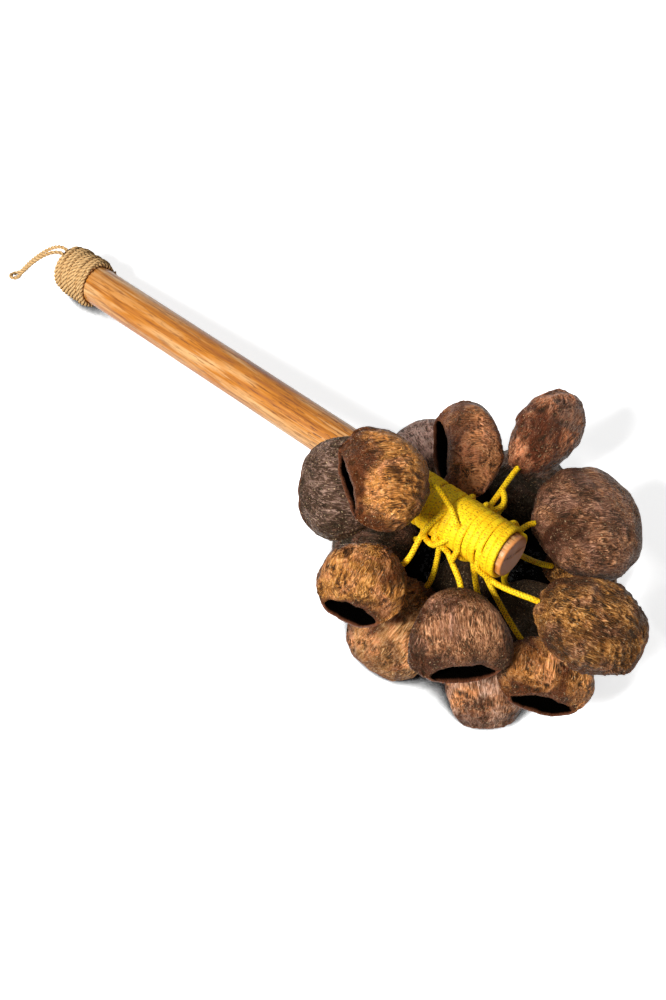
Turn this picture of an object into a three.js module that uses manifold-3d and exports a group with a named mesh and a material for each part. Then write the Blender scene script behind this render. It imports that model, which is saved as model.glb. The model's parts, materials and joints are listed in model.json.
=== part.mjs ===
// Nut shaker: a wooden stick with a twine wrap at one end and, at the other, a cord winding from
// which hollow nut shells hang on short cords. It lies on a table. Millimetres, +Z up, +X towards
// the shells. The origin is under the middle of the part, on the table.
import * as THREE from "three";
import { mergeVertices } from "three/addons/utils/BufferGeometryUtils.js";
import Module from "manifold-3d";

// Stick
const STICK_LENGTH = 322;
const STICK_DIAMETER = 22;
const STICK_CHAMFER = 0.8;
const STICK_SIDES = 32;

// Twine wrap round the far end of the stick
const TWINE_DIAMETER = 2.2;
const TWINE_TURNS = 9;
const TWINE_SPACE = 0.45;
const TWINE_INSET = 1.2;

// Hanging loop that leaves the wrap
const LOOP_REACH = 32;
const LOOP_WIDTH = 9.4;
const LOOP_STEM_SPACE = 0.8;
const LOOP_LEAD = 4;
const LOOP_RISE = 4;
const LOOP_TURN_DEG = 40;
const LOOP_TIP_DEG = 35;
const LOOP_FLOOR_GAP = 0.6;

// Cord winding round the head end, and the cord that all tethers are made of
const CORD_DIAMETER = 3.1;
const WINDING_CORD_WIDTH = 3.2;
const WINDING_CORD_THICKNESS = 2.1;
const WINDING_TURNS = 16;
const WINDING_SPACE = 0.5;
const WINDING_INSET = 2.5;

// Nut shells: length runs from the back of the nut to its mouth
const NUT_LENGTH = 43;
const NUT_WIDTH = 50;
const NUT_DEPTH = 30;
const SHELL_WALL = 1.8;
const NUT_FULLEST = 0.58;
const MOUTH_WIDTH_SHARE = 0.66;
const MOUTH_DEPTH_SHARE = 0.42;
const MOUTH_SLANT = 7;
const NUT_SIDES = 14;
const KNOT_DIAMETER = 6.4;

// Clearances
const SEAT_GAP = 0.3;
const TETHER_GAP = 0.5;
const HOLE_GAP = 0.35;
const HEAD_CLEAR = 9;

// Where each nut hangs. bearing: side of the winding it lies to, degrees in plan from +X towards +Y.
// reach: how far its tie hole lies from the middle of the head, in nut widths. rise: height of the tie
// hole over the head's middle, in nut depths (a nut of the lower layer lies on the table instead).
// heading, pitch, roll: how it hangs from the tie hole, degrees. mouth: how far round its mouth is
// turned from facing straight away from the tie hole. size: length, width and depth, in nut sizes.
// along: where its cord leaves the winding, in shares of the winding from the stick's head end.
// slant: how far its upper lip is cut back, in mouth slants. full: where it is widest, in shares of its
// length over the usual one. Both are 1 where a row leaves them out.
const UPPER_NUTS = [
  {
    bearing: -166, reach: 0.37, rise: 0.92, along: 0.55,
    heading: -143, pitch: 12, roll: 0, mouth: 18, size: [0.98, 1.08, 0.94],
    slant: 0.3,
  },
  {
    bearing: -157, reach: 0.77, rise: 0.22, along: 0.93,
    heading: -151, pitch: -6, roll: 156, mouth: 0, size: [1, 1.06, 0.9],
  },
  {
    bearing: -108, reach: 0.67, rise: -0.42, along: 0.72,
    heading: -117, pitch: -6, roll: 0, mouth: 44, size: [0.98, 0.92, 0.94],
    full: 1.08,
  },
  {
    bearing: -50, reach: 0.62, rise: -0.28, along: 0.45,
    heading: -53, pitch: -8, roll: 0, mouth: 8, size: [1.06, 1.04, 0.98],
    full: 1.3,
  },
  {
    bearing: -19, reach: 1.2, rise: -0.86, along: 0.2,
    heading: -15, pitch: -8, roll: 0, mouth: -46, size: [0.88, 1, 0.9],
  },
  {
    bearing: -10, reach: 1.08, rise: 0.12, along: 0.02,
    heading: 20, pitch: -12, roll: 180, mouth: 0, size: [1.28, 0.96, 0.98],
  },
  {
    bearing: 42, reach: 0.72, rise: -0.1, along: 0.1,
    heading: 47, pitch: -14, roll: 180, mouth: 0, size: [1.28, 1.24, 1.02],
    full: 1.08,
  },
  {
    bearing: 88, reach: 0.9, rise: -0.3, along: 0.42,
    heading: 93, pitch: -6, roll: 205, mouth: 0, size: [1.22, 0.7, 0.92],
    full: 1.1,
  },
  {
    bearing: 107, reach: 0.39, rise: -0.3, along: 0.6,
    heading: 133, pitch: -4, roll: 0, mouth: 90, size: [0.84, 1.14, 0.98],
  },
];
const LOWER_NUTS = [
  {
    bearing: 134, reach: 0.88, along: 0.85,
    heading: 146, pitch: -24, roll: 180, mouth: 0, size: [1.06, 1, 0.95],
  },
  {
    bearing: 86, reach: 0.8, along: 0.3,
    heading: 87, pitch: -24, roll: 180, mouth: 0, size: [1.08, 1, 0.95],
  },
  {
    bearing: 34, reach: 1, along: 0.1,
    heading: 48, pitch: -34, roll: 180, mouth: 0, size: [1, 0.72, 0.9],
  },
  {
    bearing: 5, reach: 0.66, along: 0.03,
    heading: 0, pitch: -34, roll: 180, mouth: 0, size: [1.1, 0.8, 0.95],
  },
  {
    bearing: -32, reach: 0.93, along: 0.3,
    heading: -45, pitch: -28, roll: 180, mouth: 0, size: [1.06, 0.86, 0.92],
  },
  {
    bearing: -87, reach: 0.46, along: 0.62,
    heading: -91, pitch: -30, roll: 180, mouth: 0, size: [1.22, 1.04, 0.95],
  },
  {
    bearing: -163, reach: 0.42, along: 0.88,
    heading: -150, pitch: -30, roll: 180, mouth: 0, size: [1.1, 0.92, 0.95],
  },
  {
    bearing: 8, reach: 0.16, along: 0.5,
    heading: -35, pitch: -70, roll: 0, mouth: 0, size: [0.94, 0.86, 0.86],
  },
];

const wasm = await Module();
wasm.setup();
const rad = THREE.MathUtils.degToRad;
const group = new THREE.Group();

// Materials
const finish = (color, roughness) =>
  new THREE.MeshStandardMaterial({ color, roughness });
const WOOD = finish(0xc8823a, 0.45);
const TWINE = finish(0xc9a66b, 0.9);
const YELLOW = finish(0xffd400, 0.75);
const SHELL = finish(0x6b4a2a, 0.7);

// Sizes that follow from the ones above
const stickRadius = STICK_DIAMETER / 2;
const twinePitch = TWINE_DIAMETER + TWINE_SPACE;
const wrapRadius = stickRadius + SEAT_GAP + TWINE_DIAMETER / 2;
const wrapOuter = wrapRadius + TWINE_DIAMETER / 2;
const windingPitch = WINDING_CORD_WIDTH + WINDING_SPACE;
const windingRadius = stickRadius + SEAT_GAP + WINDING_CORD_THICKNESS / 2;
const windingOuter = windingRadius + WINDING_CORD_THICKNESS / 2;
const windingLength = WINDING_TURNS * windingPitch;
const headMiddle = STICK_LENGTH - WINDING_INSET - windingLength / 2;
const headHeight = 2 * NUT_DEPTH + HEAD_CLEAR;
const slope = Math.asin((headHeight - wrapOuter) / headMiddle);

// The stick's axis runs up from the far end, where the wrap lies on the table.
const axis = new THREE.Vector3(Math.cos(slope), 0, Math.sin(slope));
const farEnd = new THREE.Vector3(0, 0, wrapOuter * Math.cos(slope));
const onAxis = (s) => farEnd.clone().addScaledVector(axis, s);
const head = onAxis(headMiddle);

const solidOf = (geometry) => {
  const g = geometry.clone();
  g.deleteAttribute("normal");
  g.deleteAttribute("uv");
  const merged = mergeVertices(g, 1e-4);
  return new wasm.Manifold(
    new wasm.Mesh({
      numProp: 3,
      vertProperties: new Float32Array(merged.attributes.position.array),
      triVerts: new Uint32Array(merged.index.array),
    }),
  );
};

const geometryOf = (solid) => {
  const mesh = solid.getMesh();
  const g = new THREE.BufferGeometry();
  const points = [];
  for (let i = 0; i < mesh.numVert; i++)
    for (let k = 0; k < 3; k++) points.push(mesh.vertProperties[i * mesh.numProp + k]);
  g.setAttribute("position", new THREE.Float32BufferAttribute(points, 3));
  g.setIndex([...mesh.triVerts]);
  g.computeVertexNormals();
  return g;
};

const add = (name, geometry, material, userData = {}) => {
  const mesh = new THREE.Mesh(geometry, material);
  mesh.name = name;
  mesh.userData = userData;
  group.add(mesh);
  return mesh;
};

// Joins rings of equal count into a closed skin; a ring of one point closes an end.
const skinOf = (rings) => {
  const points = [];
  const faces = [];
  const starts = rings.map((ring) => {
    const start = points.length / 3;
    ring.forEach((p) => points.push(p.x, p.y, p.z));
    return start;
  });
  for (let i = 0; i + 1 < rings.length; i++) {
    const [a, b] = [rings[i], rings[i + 1]];
    const n = Math.max(a.length, b.length);
    for (let j = 0; j < n; j++) {
      const k = (j + 1) % n;
      const at = (ring, start, m) => start + (ring.length === 1 ? 0 : m);
      const [a0, a1] = [at(a, starts[i], j), at(a, starts[i], k)];
      const [b0, b1] = [at(b, starts[i + 1], j), at(b, starts[i + 1], k)];
      if (a0 !== a1) faces.push(a0, a1, b0);
      if (b0 !== b1) faces.push(a1, b1, b0);
    }
  }
  const g = new THREE.BufferGeometry();
  g.setAttribute("position", new THREE.Float32BufferAttribute(points, 3));
  g.setIndex(faces);
  g.computeVertexNormals();
  return g;
};

// A tube through points, of a radius at each point, with pointed or round ends as the radii say.
const tubeOf = (points, radii, sides) => {
  const rings = [];
  let side = null;
  points.forEach((p, i) => {
    const before = points[Math.max(i - 1, 0)];
    const after = points[Math.min(i + 1, points.length - 1)];
    const along = after.clone().sub(before).normalize();
    if (!side) side = new THREE.Vector3(0.3, 0.5, 0.8).cross(along).normalize();
    side = side.addScaledVector(along, -side.dot(along)).normalize();
    const other = along.clone().cross(side);
    if (radii[i] === 0) {
      rings.push([p.clone()]);
      return;
    }
    const ring = [];
    for (let k = 0; k < sides; k++) {
      const t = (2 * Math.PI * k) / sides;
      ring.push(
        p
          .clone()
          .addScaledVector(side, radii[i] * Math.cos(t))
          .addScaledVector(other, radii[i] * Math.sin(t)),
      );
    }
    rings.push(ring);
  });
  return skinOf(rings);
};

// A wound cord of width by thickness round a length of the stick, from start on, in plain turns. Both
// ends run on straight for one width. It gives the skin and the least gap between its own turns.
const STEPS_PER_TURN = 24;
const CORD_SIDES = 6;
const windingOf = (start, turns, pitch, radius, width, thickness) => {
  const steps = Math.round(turns * STEPS_PER_TURN);
  const centre = (u) => {
    const t = (2 * Math.PI * u) / STEPS_PER_TURN;
    return new THREE.Vector3(
      start + (pitch * u) / STEPS_PER_TURN,
      radius * Math.cos(t),
      radius * Math.sin(t),
    );
  };
  const ringAt = (p, radial) => {
    const lengthwise = new THREE.Vector3(1, 0, 0);
    const ring = [];
    for (let k = 0; k < CORD_SIDES; k++) {
      const t = (2 * Math.PI * k) / CORD_SIDES;
      ring.push(
        p
          .clone()
          .addScaledVector(lengthwise, (width / 2) * Math.cos(t))
          .addScaledVector(radial, (thickness / 2) * (Math.sin(t) / Math.sin(Math.PI / 3))),
      );
    }
    return ring;
  };
  const rings = [];
  const endRun = (u, way) => {
    const p = centre(u);
    const radial = new THREE.Vector3(0, p.y, p.z).normalize();
    const run = centre(u + 1).sub(centre(u)).normalize().multiplyScalar(way * width);
    return ringAt(p.clone().add(run), radial);
  };
  const first = endRun(0, -1);
  const last = endRun(steps, 1);
  const middle = (ring) => [
    ring.reduce((sum, p) => sum.add(p), new THREE.Vector3()).divideScalar(ring.length),
  ];
  rings.push(middle(first), first);
  for (let u = 0; u <= steps; u++) {
    const p = centre(u);
    rings.push(ringAt(p, new THREE.Vector3(0, p.y, p.z).normalize()));
  }
  rings.push(last, middle(last));
  const turnRings = rings.slice(2, -2);
  let gap = Infinity;
  for (let i = 0; i + STEPS_PER_TURN < turnRings.length; i++) {
    const [a, b] = [turnRings[i], turnRings[i + STEPS_PER_TURN]];
    const reach = Math.max(...a.map((p) => p.x));
    gap = Math.min(gap, Math.min(...b.map((p) => p.x)) - reach);
  }
  return { geometry: skinOf(rings), gap };
};

// Lays a piece that was made along +X from the origin onto the stick's axis.
const ontoStick = (geometry) =>
  geometry.rotateY(-slope).translate(farEnd.x, farEnd.y, farEnd.z);

// Stick
const stickProfile = [
  [0, 0],
  [stickRadius - STICK_CHAMFER, 0],
  [stickRadius, STICK_CHAMFER],
  [stickRadius, STICK_LENGTH - STICK_CHAMFER],
  [stickRadius - STICK_CHAMFER, STICK_LENGTH],
  [0, STICK_LENGTH],
].map(([r, y]) => new THREE.Vector2(r, y));
const stick = new THREE.LatheGeometry(stickProfile, STICK_SIDES).rotateZ(-Math.PI / 2);
add("stick", ontoStick(stick), WOOD, { far: farEnd.clone(), end: onAxis(STICK_LENGTH) });

// Twine wrap and cord winding
const wrap = windingOf(
  TWINE_INSET + TWINE_DIAMETER / 2,
  TWINE_TURNS,
  twinePitch,
  wrapRadius,
  TWINE_DIAMETER,
  TWINE_DIAMETER,
);
add("twine_wrap", ontoStick(wrap.geometry), TWINE);
const winding = windingOf(
  STICK_LENGTH - WINDING_INSET - windingLength,
  WINDING_TURNS,
  windingPitch,
  windingRadius,
  WINDING_CORD_WIDTH,
  WINDING_CORD_THICKNESS,
);
add("cord_winding", ontoStick(winding.geometry), YELLOW);
console.log(`least gap: wrap ${wrap.gap.toFixed(2)} mm, winding ${winding.gap.toFixed(2)} mm`);

// Half width and half depth of a nut at a share of its length, from its blunt back to its mouth
const swell = (s, peak, power) =>
  s >= peak ? 1 : Math.pow(1 - Math.pow(1 - s / peak, power), 1 / power);
const fall = (s, peak, end) =>
  s <= peak ? 1 : Math.sqrt(1 - (1 - end * end) * Math.pow((s - peak) / (1 - peak), 2));
const widthShare = (s, full) => swell(s, full, 1.85) * fall(s, full, MOUTH_WIDTH_SHARE);
const depthShare = (s) => swell(s, 0.5, 2) * fall(s, 0.5, MOUTH_DEPTH_SHARE);

// A nut shell: a cup that opens along +X, from its back at x = 0
const OUTER_STATIONS = [0.025, 0.1, 0.24, 0.42, 0.62, 0.8, 0.93, 1];
const INNER_STATIONS = [1, 0.84, 0.62, 0.36, 0.12];
const cupOf = (length, width, depth, slant, full) => {
  const ringAt = (s, wall) => {
    const ring = [];
    for (let k = 0; k < NUT_SIDES; k++) {
      const t = (2 * Math.PI * k) / NUT_SIDES;
      const reach = length - (slant / 2) * (1 + Math.sin(t));
      ring.push(
        new THREE.Vector3(
          wall + s * (reach - wall),
          (widthShare(s, full) * (width / 2) - wall) * Math.cos(t),
          (depthShare(s) * (depth / 2) - wall) * Math.sin(t),
        ),
      );
    }
    return ring;
  };
  return skinOf([
    [new THREE.Vector3(0, 0, 0)],
    ...OUTER_STATIONS.map((s) => ringAt(s, 0)),
    ...INNER_STATIONS.map((s) => ringAt(s, SHELL_WALL)),
    [new THREE.Vector3(SHELL_WALL, 0, 0)],
  ]);
};

// How far the nut's edge lies from its middle, straight away from a mouth turned by an angle
const edgeReach = (length, width, full, angle) => {
  let best = length / 2;
  let miss = Infinity;
  for (let i = 0; i <= 400; i++) {
    const s = i / 400;
    const x = s * length - length / 2;
    const y = widthShare(s, full) * (width / 2);
    const off = Math.abs(Math.atan2(y, -x) - Math.abs(angle));
    if (off < miss) {
      miss = off;
      best = Math.hypot(x, y);
    }
  }
  return best;
};

const tieHole = CORD_DIAMETER + 2 * HOLE_GAP;
const nutOf = (row) => {
  const [length, width, depth] = [
    row.size[0] * NUT_LENGTH,
    row.size[1] * NUT_WIDTH,
    row.size[2] * NUT_DEPTH,
  ];
  const turn = rad(row.mouth);
  const full = NUT_FULLEST * (row.full ?? 1);
  const middle = edgeReach(length, width, full, turn);
  const cup = cupOf(length, width, depth, MOUTH_SLANT * (row.slant ?? 1), full)
    .translate(-length / 2, 0, 0)
    .rotateZ(turn)
    .translate(middle, 0, 0);
  const drillLength = 6 * SHELL_WALL;
  const drill = new THREE.CylinderGeometry(tieHole / 2, tieHole / 2, drillLength, 10).rotateZ(
    Math.PI / 2,
  );
  return geometryOf(solidOf(cup).subtract(solidOf(drill)));
};

// Turns a nut, which hangs from the origin along +X, the way its row says
const hang = (geometry, row) =>
  geometry
    .rotateX(rad(row.roll))
    .rotateY(-rad(row.pitch))
    .rotateZ(rad(row.heading));

// A tether: round end at the winding, a curve to the tie hole, a stopper knot inside the shell
const TETHER_SIDES = 6;
const TETHER_STEPS = 7;
const rootRadius = windingOuter + CORD_DIAMETER / 2 + TETHER_GAP;
const tetherOf = (root, out, tie, into) => {
  const lead = root.distanceTo(tie) / 4;
  const straight = tie.clone().sub(root).normalize();
  const leave = straight.addScaledVector(out, 0.3).normalize();
  const curve = new THREE.CubicBezierCurve3(
    root,
    root.clone().addScaledVector(leave, lead),
    tie.clone().addScaledVector(into, -lead),
    tie,
  );
  const r = CORD_DIAMETER / 2;
  const knot = KNOT_DIAMETER / 2;
  const points = [root.clone().addScaledVector(out, -r), root.clone().addScaledVector(out, -0.6 * r)];
  const radii = [0, 0.8 * r];
  curve.getPoints(TETHER_STEPS).forEach((p) => {
    points.push(p);
    radii.push(r);
  });
  const inside = 2 * SHELL_WALL + HOLE_GAP;
  [
    [inside, r],
    [inside + 0.25 * knot, 0.75 * knot],
    [inside + knot, knot],
    [inside + 1.75 * knot, 0.7 * knot],
    [inside + 2 * knot, 0],
  ].forEach(([x, radius]) => {
    points.push(tie.clone().addScaledVector(into, x));
    radii.push(radius);
  });
  return tubeOf(points, radii, TETHER_SIDES);
};

const hangNut = (row, name, lies) => {
  const nut = hang(nutOf(row), row);
  nut.computeBoundingBox();
  const out = row.reach * NUT_WIDTH;
  const tie = new THREE.Vector3(
    head.x + out * Math.cos(rad(row.bearing)),
    head.y + out * Math.sin(rad(row.bearing)),
    lies ? -nut.boundingBox.min.z : head.z + row.rise * NUT_DEPTH,
  );
  nut.translate(tie.x, tie.y, tie.z);
  add(`nut_${name}`, nut, SHELL);
  const place = onAxis(STICK_LENGTH - WINDING_INSET - row.along * windingLength);
  const radial = tie.clone().sub(place);
  radial.addScaledVector(axis, -radial.dot(axis)).normalize();
  const root = place.clone().addScaledVector(radial, rootRadius);
  const into = new THREE.Vector3(1, 0, 0)
    .applyAxisAngle(new THREE.Vector3(0, 1, 0), -rad(row.pitch))
    .applyAxisAngle(new THREE.Vector3(0, 0, 1), rad(row.heading));
  add(`tether_${name}`, tetherOf(root, radial, tie, into), YELLOW, { root, tie, lies });
};
const label = (n) => String(n).padStart(2, "0");
UPPER_NUTS.forEach((row, i) => hangNut(row, label(i + 1), false));
LOWER_NUTS.forEach((row, i) => hangNut(row, label(UPPER_NUTS.length + i + 1), true));

// Hanging loop: both ends lie on top of the wrap and run out over the stick's end, where the loop
// droops to the table, turned to one side and tipped.
const twineRadius = TWINE_DIAMETER / 2;
const loopSide = new THREE.Vector3(Math.sin(rad(LOOP_TURN_DEG)), -Math.cos(rad(LOOP_TURN_DEG)), 0);
const loopAcross = loopSide
  .clone()
  .multiplyScalar(Math.cos(rad(LOOP_TIP_DEG)))
  .add(new THREE.Vector3(0, 0, Math.sin(rad(LOOP_TIP_DEG))));
const loopOut = new THREE.Vector3(-Math.cos(rad(LOOP_TURN_DEG)), -Math.sin(rad(LOOP_TURN_DEG)), 0);
const overWrap = wrapOuter + twineRadius + SEAT_GAP;
const loopStart = onAxis(LOOP_LEAD).add(
  new THREE.Vector3(-Math.sin(slope), 0, Math.cos(slope)).multiplyScalar(overWrap),
);
const loopHalf = LOOP_WIDTH / 2;
const loopStem = twineRadius + LOOP_STEM_SPACE / 2;
const tipHeight = LOOP_FLOOR_GAP + twineRadius + loopHalf * Math.sin(rad(LOOP_TIP_DEG));
const tip = loopStart.clone().addScaledVector(loopOut, LOOP_REACH).setZ(tipHeight);
const droop = new THREE.CubicBezierCurve3(
  loopStart,
  loopStart.clone().addScaledVector(axis, -2 * LOOP_LEAD).add(new THREE.Vector3(0, 0, LOOP_RISE)),
  loopStart.clone().lerp(tip, 2 / 3).add(new THREE.Vector3(0, 0, 2 * LOOP_RISE)),
  tip,
);
const LOOP_STEPS = 9;
const strand = (way) => {
  const points = [];
  for (let i = 0; i <= LOOP_STEPS; i++) {
    const t = i / LOOP_STEPS;
    const spread = loopStem + (loopHalf - loopStem) * Math.sin((Math.PI / 2) * t);
    const across = new THREE.Vector3(0, -1, 0).lerp(loopAcross, t).normalize();
    points.push(droop.getPoint(t).addScaledVector(across, way * spread));
  }
  return points;
};
const bend = [];
for (let i = 1; i < 6; i++) {
  const t = (Math.PI * i) / 6;
  bend.push(
    tip
      .clone()
      .addScaledVector(loopAcross, loopHalf * Math.cos(t))
      .addScaledVector(loopOut, loopHalf * Math.sin(t)),
  );
}
const loopPath = [...strand(1), ...bend, ...strand(-1).reverse()];
const cap = (from, to) => from.clone().add(from.clone().sub(to).setLength(twineRadius / 2));
const loopPoints = [cap(loopPath[0], loopPath[1]), ...loopPath, cap(loopPath.at(-1), loopPath.at(-2))];
const loopRadii = loopPoints.map((p, i) => (i % (loopPoints.length - 1) ? twineRadius : 0));
const hangingLoop = add("hanging_loop", tubeOf(loopPoints, loopRadii, 8), TWINE);

// The origin goes under the middle of everything but the hanging loop, on the table.
const box = new THREE.Box3();
group.children.forEach((mesh) => {
  if (mesh !== hangingLoop) box.expandByObject(mesh);
});
const origin = new THREE.Vector3(
  (box.min.x + box.max.x) / 2,
  (box.min.y + box.max.y) / 2,
  box.min.z,
);
group.children.forEach((mesh) => {
  mesh.geometry.translate(-origin.x, -origin.y, -origin.z);
  Object.values(mesh.userData).forEach((mark) => {
    if (mark.isVector3) mark.sub(origin);
  });
});

export default group;
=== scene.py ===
"""Nut shaker: hollow nut shells hung on yellow cord from the head of a varnished stick.

Each sub-assembly is a class that builds its meshes around the CAD frame and dresses them. Sizes are
in millimetres in the fields and in metres in Blender.
"""

import json
import logging
import math
from collections.abc import Callable, Sequence
from dataclasses import dataclass, field, replace
from enum import Enum
from functools import partial

import bpy
import numpy as np
from mathutils import Matrix, Vector


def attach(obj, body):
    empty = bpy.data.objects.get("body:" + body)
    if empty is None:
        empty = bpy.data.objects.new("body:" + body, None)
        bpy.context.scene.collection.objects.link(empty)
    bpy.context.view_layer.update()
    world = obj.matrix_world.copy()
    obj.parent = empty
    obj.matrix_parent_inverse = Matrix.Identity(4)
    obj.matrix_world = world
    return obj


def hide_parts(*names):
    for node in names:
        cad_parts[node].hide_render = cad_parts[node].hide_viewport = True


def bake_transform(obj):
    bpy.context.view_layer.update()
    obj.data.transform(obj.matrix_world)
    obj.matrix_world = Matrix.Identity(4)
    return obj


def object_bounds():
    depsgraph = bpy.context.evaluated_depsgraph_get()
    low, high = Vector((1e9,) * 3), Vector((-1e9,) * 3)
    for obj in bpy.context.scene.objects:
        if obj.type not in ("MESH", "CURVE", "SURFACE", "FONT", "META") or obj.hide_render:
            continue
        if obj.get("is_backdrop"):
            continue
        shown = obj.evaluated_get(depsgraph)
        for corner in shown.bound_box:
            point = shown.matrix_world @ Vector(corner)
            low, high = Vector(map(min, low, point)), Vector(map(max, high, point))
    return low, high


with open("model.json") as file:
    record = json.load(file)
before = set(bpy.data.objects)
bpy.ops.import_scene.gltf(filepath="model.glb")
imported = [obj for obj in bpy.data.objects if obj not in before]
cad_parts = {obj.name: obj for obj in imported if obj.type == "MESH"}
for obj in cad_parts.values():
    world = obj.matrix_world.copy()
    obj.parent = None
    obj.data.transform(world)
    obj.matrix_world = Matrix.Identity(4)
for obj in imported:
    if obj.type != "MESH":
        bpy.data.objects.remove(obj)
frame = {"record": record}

CAD_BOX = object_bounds()
MM = 0.001
LOG = logging.getLogger("nut_shaker")
AddNode = Callable[..., bpy.types.NodeSocket]
WHITE = "#FFFFFF"

# Sizes shared with the part's source, in millimetres
STICK_LENGTH = 322.0
STICK_DIAMETER = 22.0
TWINE_DIAMETER = 2.2
CORD_DIAMETER = 3.1
WINDING_TURNS = 16
WINDING_PITCH = 3.7
WINDING_INSET = 2.5
WINDING_THICKNESS = 2.1
SEAT_GAP = 0.3
TETHER_GAP = 0.5
NUT_LENGTH = 43.0
NUT_WIDTH = 50.0
NUT_DEPTH = 30.0
SHELL_WALL = 1.8
KNOT_DIAMETER = 6.4

STICK_RADIUS = STICK_DIAMETER / 2
WINDING_OUTER = STICK_RADIUS + SEAT_GAP + WINDING_THICKNESS
WINDING_LENGTH = WINDING_TURNS * WINDING_PITCH
HEAD_MIDDLE = STICK_LENGTH - WINDING_INSET - WINDING_LENGTH / 2

# Points to a turn of cord or twine
STEPS_PER_TURN = 130

# Folds of every husk: size of their bends and of deep and smooth stretches in millimetres, how sharp
# and how much finer the small folds are, and the height that stays where a husk is smooth
FOLD_BEND_MM = 11.0
FOLD_DEPTH_MM = 10.0
FOLD_SHARPNESS = 2.3
FINE_FOLDS = 2.1
SMOOTH_HEIGHT = 0.55


def linear(srgb: str) -> tuple[float, float, float, float]:
    """Turns an sRGB hex colour into linear red, green, blue and alpha.

    Args:
        srgb: Six hex digits with a leading hash.

    Returns:
        The linear colour, opaque.
    """
    parts = [int(srgb[i : i + 2], 16) / 255 for i in (1, 3, 5)]
    low = [c / 12.92 if c <= 0.04045 else ((c + 0.055) / 1.055) ** 2.4 for c in parts]
    return (low[0], low[1], low[2], 1.0)


def unit(v: np.ndarray) -> np.ndarray:
    """Returns the vector, or each row of vectors, at length one."""
    return v / np.maximum(np.linalg.norm(v, axis=-1, keepdims=True), 1e-12)


def feed(tree: bpy.types.NodeTree, node: bpy.types.Node, inputs: dict) -> None:
    """Sets or links the inputs of a node.

    Args:
        tree: The node's tree.
        node: The node.
        inputs: Socket name or number to a value, or to the output socket that feeds it.
    """
    for key, value in inputs.items():
        if isinstance(value, bpy.types.NodeSocket):
            tree.links.new(value, node.inputs[key])
        else:
            node.inputs[key].default_value = value


def add_node(
    tree: bpy.types.NodeTree,
    kind: str,
    inputs: dict | None = None,
    out: str | int = 0,
    stops: tuple[tuple[float, str], ...] = (),
    **settings: object,
) -> bpy.types.NodeSocket:
    """Adds a shader node with its settings and links.

    Args:
        tree: The node tree that takes the node.
        kind: The node's Blender type name after ShaderNode.
        inputs: Socket name or number to a value, or to the output socket that feeds it.
        out: Name or number of the output wanted.
        stops: Place and sRGB colour of each stop where the node is a colour ramp.
        **settings: Attributes of the node itself.

    Returns:
        The output socket.
    """
    made = tree.nodes.new(f"ShaderNode{kind}")
    for key, value in settings.items():
        setattr(made, key, value)
    feed(tree, made, inputs or {})
    for i, (place, colour) in enumerate(stops):
        if i >= len(made.color_ramp.elements):
            made.color_ramp.elements.new(place)
        made.color_ramp.elements[i].position = place
        made.color_ramp.elements[i].color = linear(colour)
    return made.outputs[out]


def new_material(name: str) -> tuple[bpy.types.Material, AddNode]:
    """Makes a material and binds add_node to its tree.

    Args:
        name: Name of the real material.

    Returns:
        The material and the bound function.
    """
    made = bpy.data.materials.new(name)
    made.use_nodes = True
    return made, partial(add_node, made.node_tree)


def set_shader(made: bpy.types.Material, inputs: dict) -> bpy.types.Material:
    """Feeds the material's shader and gives the material back."""
    feed(made.node_tree, made.node_tree.nodes["Principled BSDF"], inputs)
    return made


def placed(name: str, data: bpy.types.ID) -> bpy.types.Object:
    """Puts a new object into the scene.

    Args:
        name: The object's name.
        data: Its mesh, lamp or camera.

    Returns:
        The object.
    """
    made = bpy.data.objects.new(name, data)
    bpy.context.scene.collection.objects.link(made)
    return made


def noise_at(points: np.ndarray, seed: int) -> np.ndarray:
    """Smooth noise on a unit lattice.

    Args:
        points: Places, one row each.
        seed: Picks the pattern.

    Returns:
        A value from -1 to 1 for each place.
    """
    cell = np.floor(points).astype(np.int64)
    part = points - cell
    ease = part * part * part * (part * (part * 6 - 15) + 10)
    total = np.zeros(len(points))
    for corner in range(8):
        step = np.array([corner & 1, corner >> 1 & 1, corner >> 2 & 1])
        at = cell + step
        key = at[:, 0] * 374761393 + at[:, 1] * 668265263 + at[:, 2] * 1442695041
        key = (key + seed * 974634721) & 0xFFFFFFFF
        key = ((key ^ (key >> 13)) * 1274126177) & 0xFFFFFFFF
        key = ((key ^ (key >> 16)) * 2246822519) & 0xFFFFFFFF
        key = key ^ (key >> 15)
        away = part - step
        slope = np.stack(
            [(key & 1023) / 511.5 - 1, (key >> 10 & 1023) / 511.5 - 1, (key >> 20 & 1023) / 511.5 - 1],
            axis=1,
        )
        weight = np.prod(np.where(step == 1, ease, 1 - ease), axis=1)
        total += weight * np.sum(slope * away, axis=1)
    return np.clip(total * 1.4, -1, 1)


def layered(points: np.ndarray, seed: int, layers: int) -> np.ndarray:
    """Noise with finer layers on top, each half the size and strength of the one before.

    Args:
        points: Places, one row each.
        seed: Picks the pattern.
        layers: How many layers.

    Returns:
        A value from about -1 to 1 for each place.
    """
    total = np.zeros(len(points))
    for i in range(layers):
        total += noise_at(points * 2**i, seed + i) / 2**i
    return total


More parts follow.
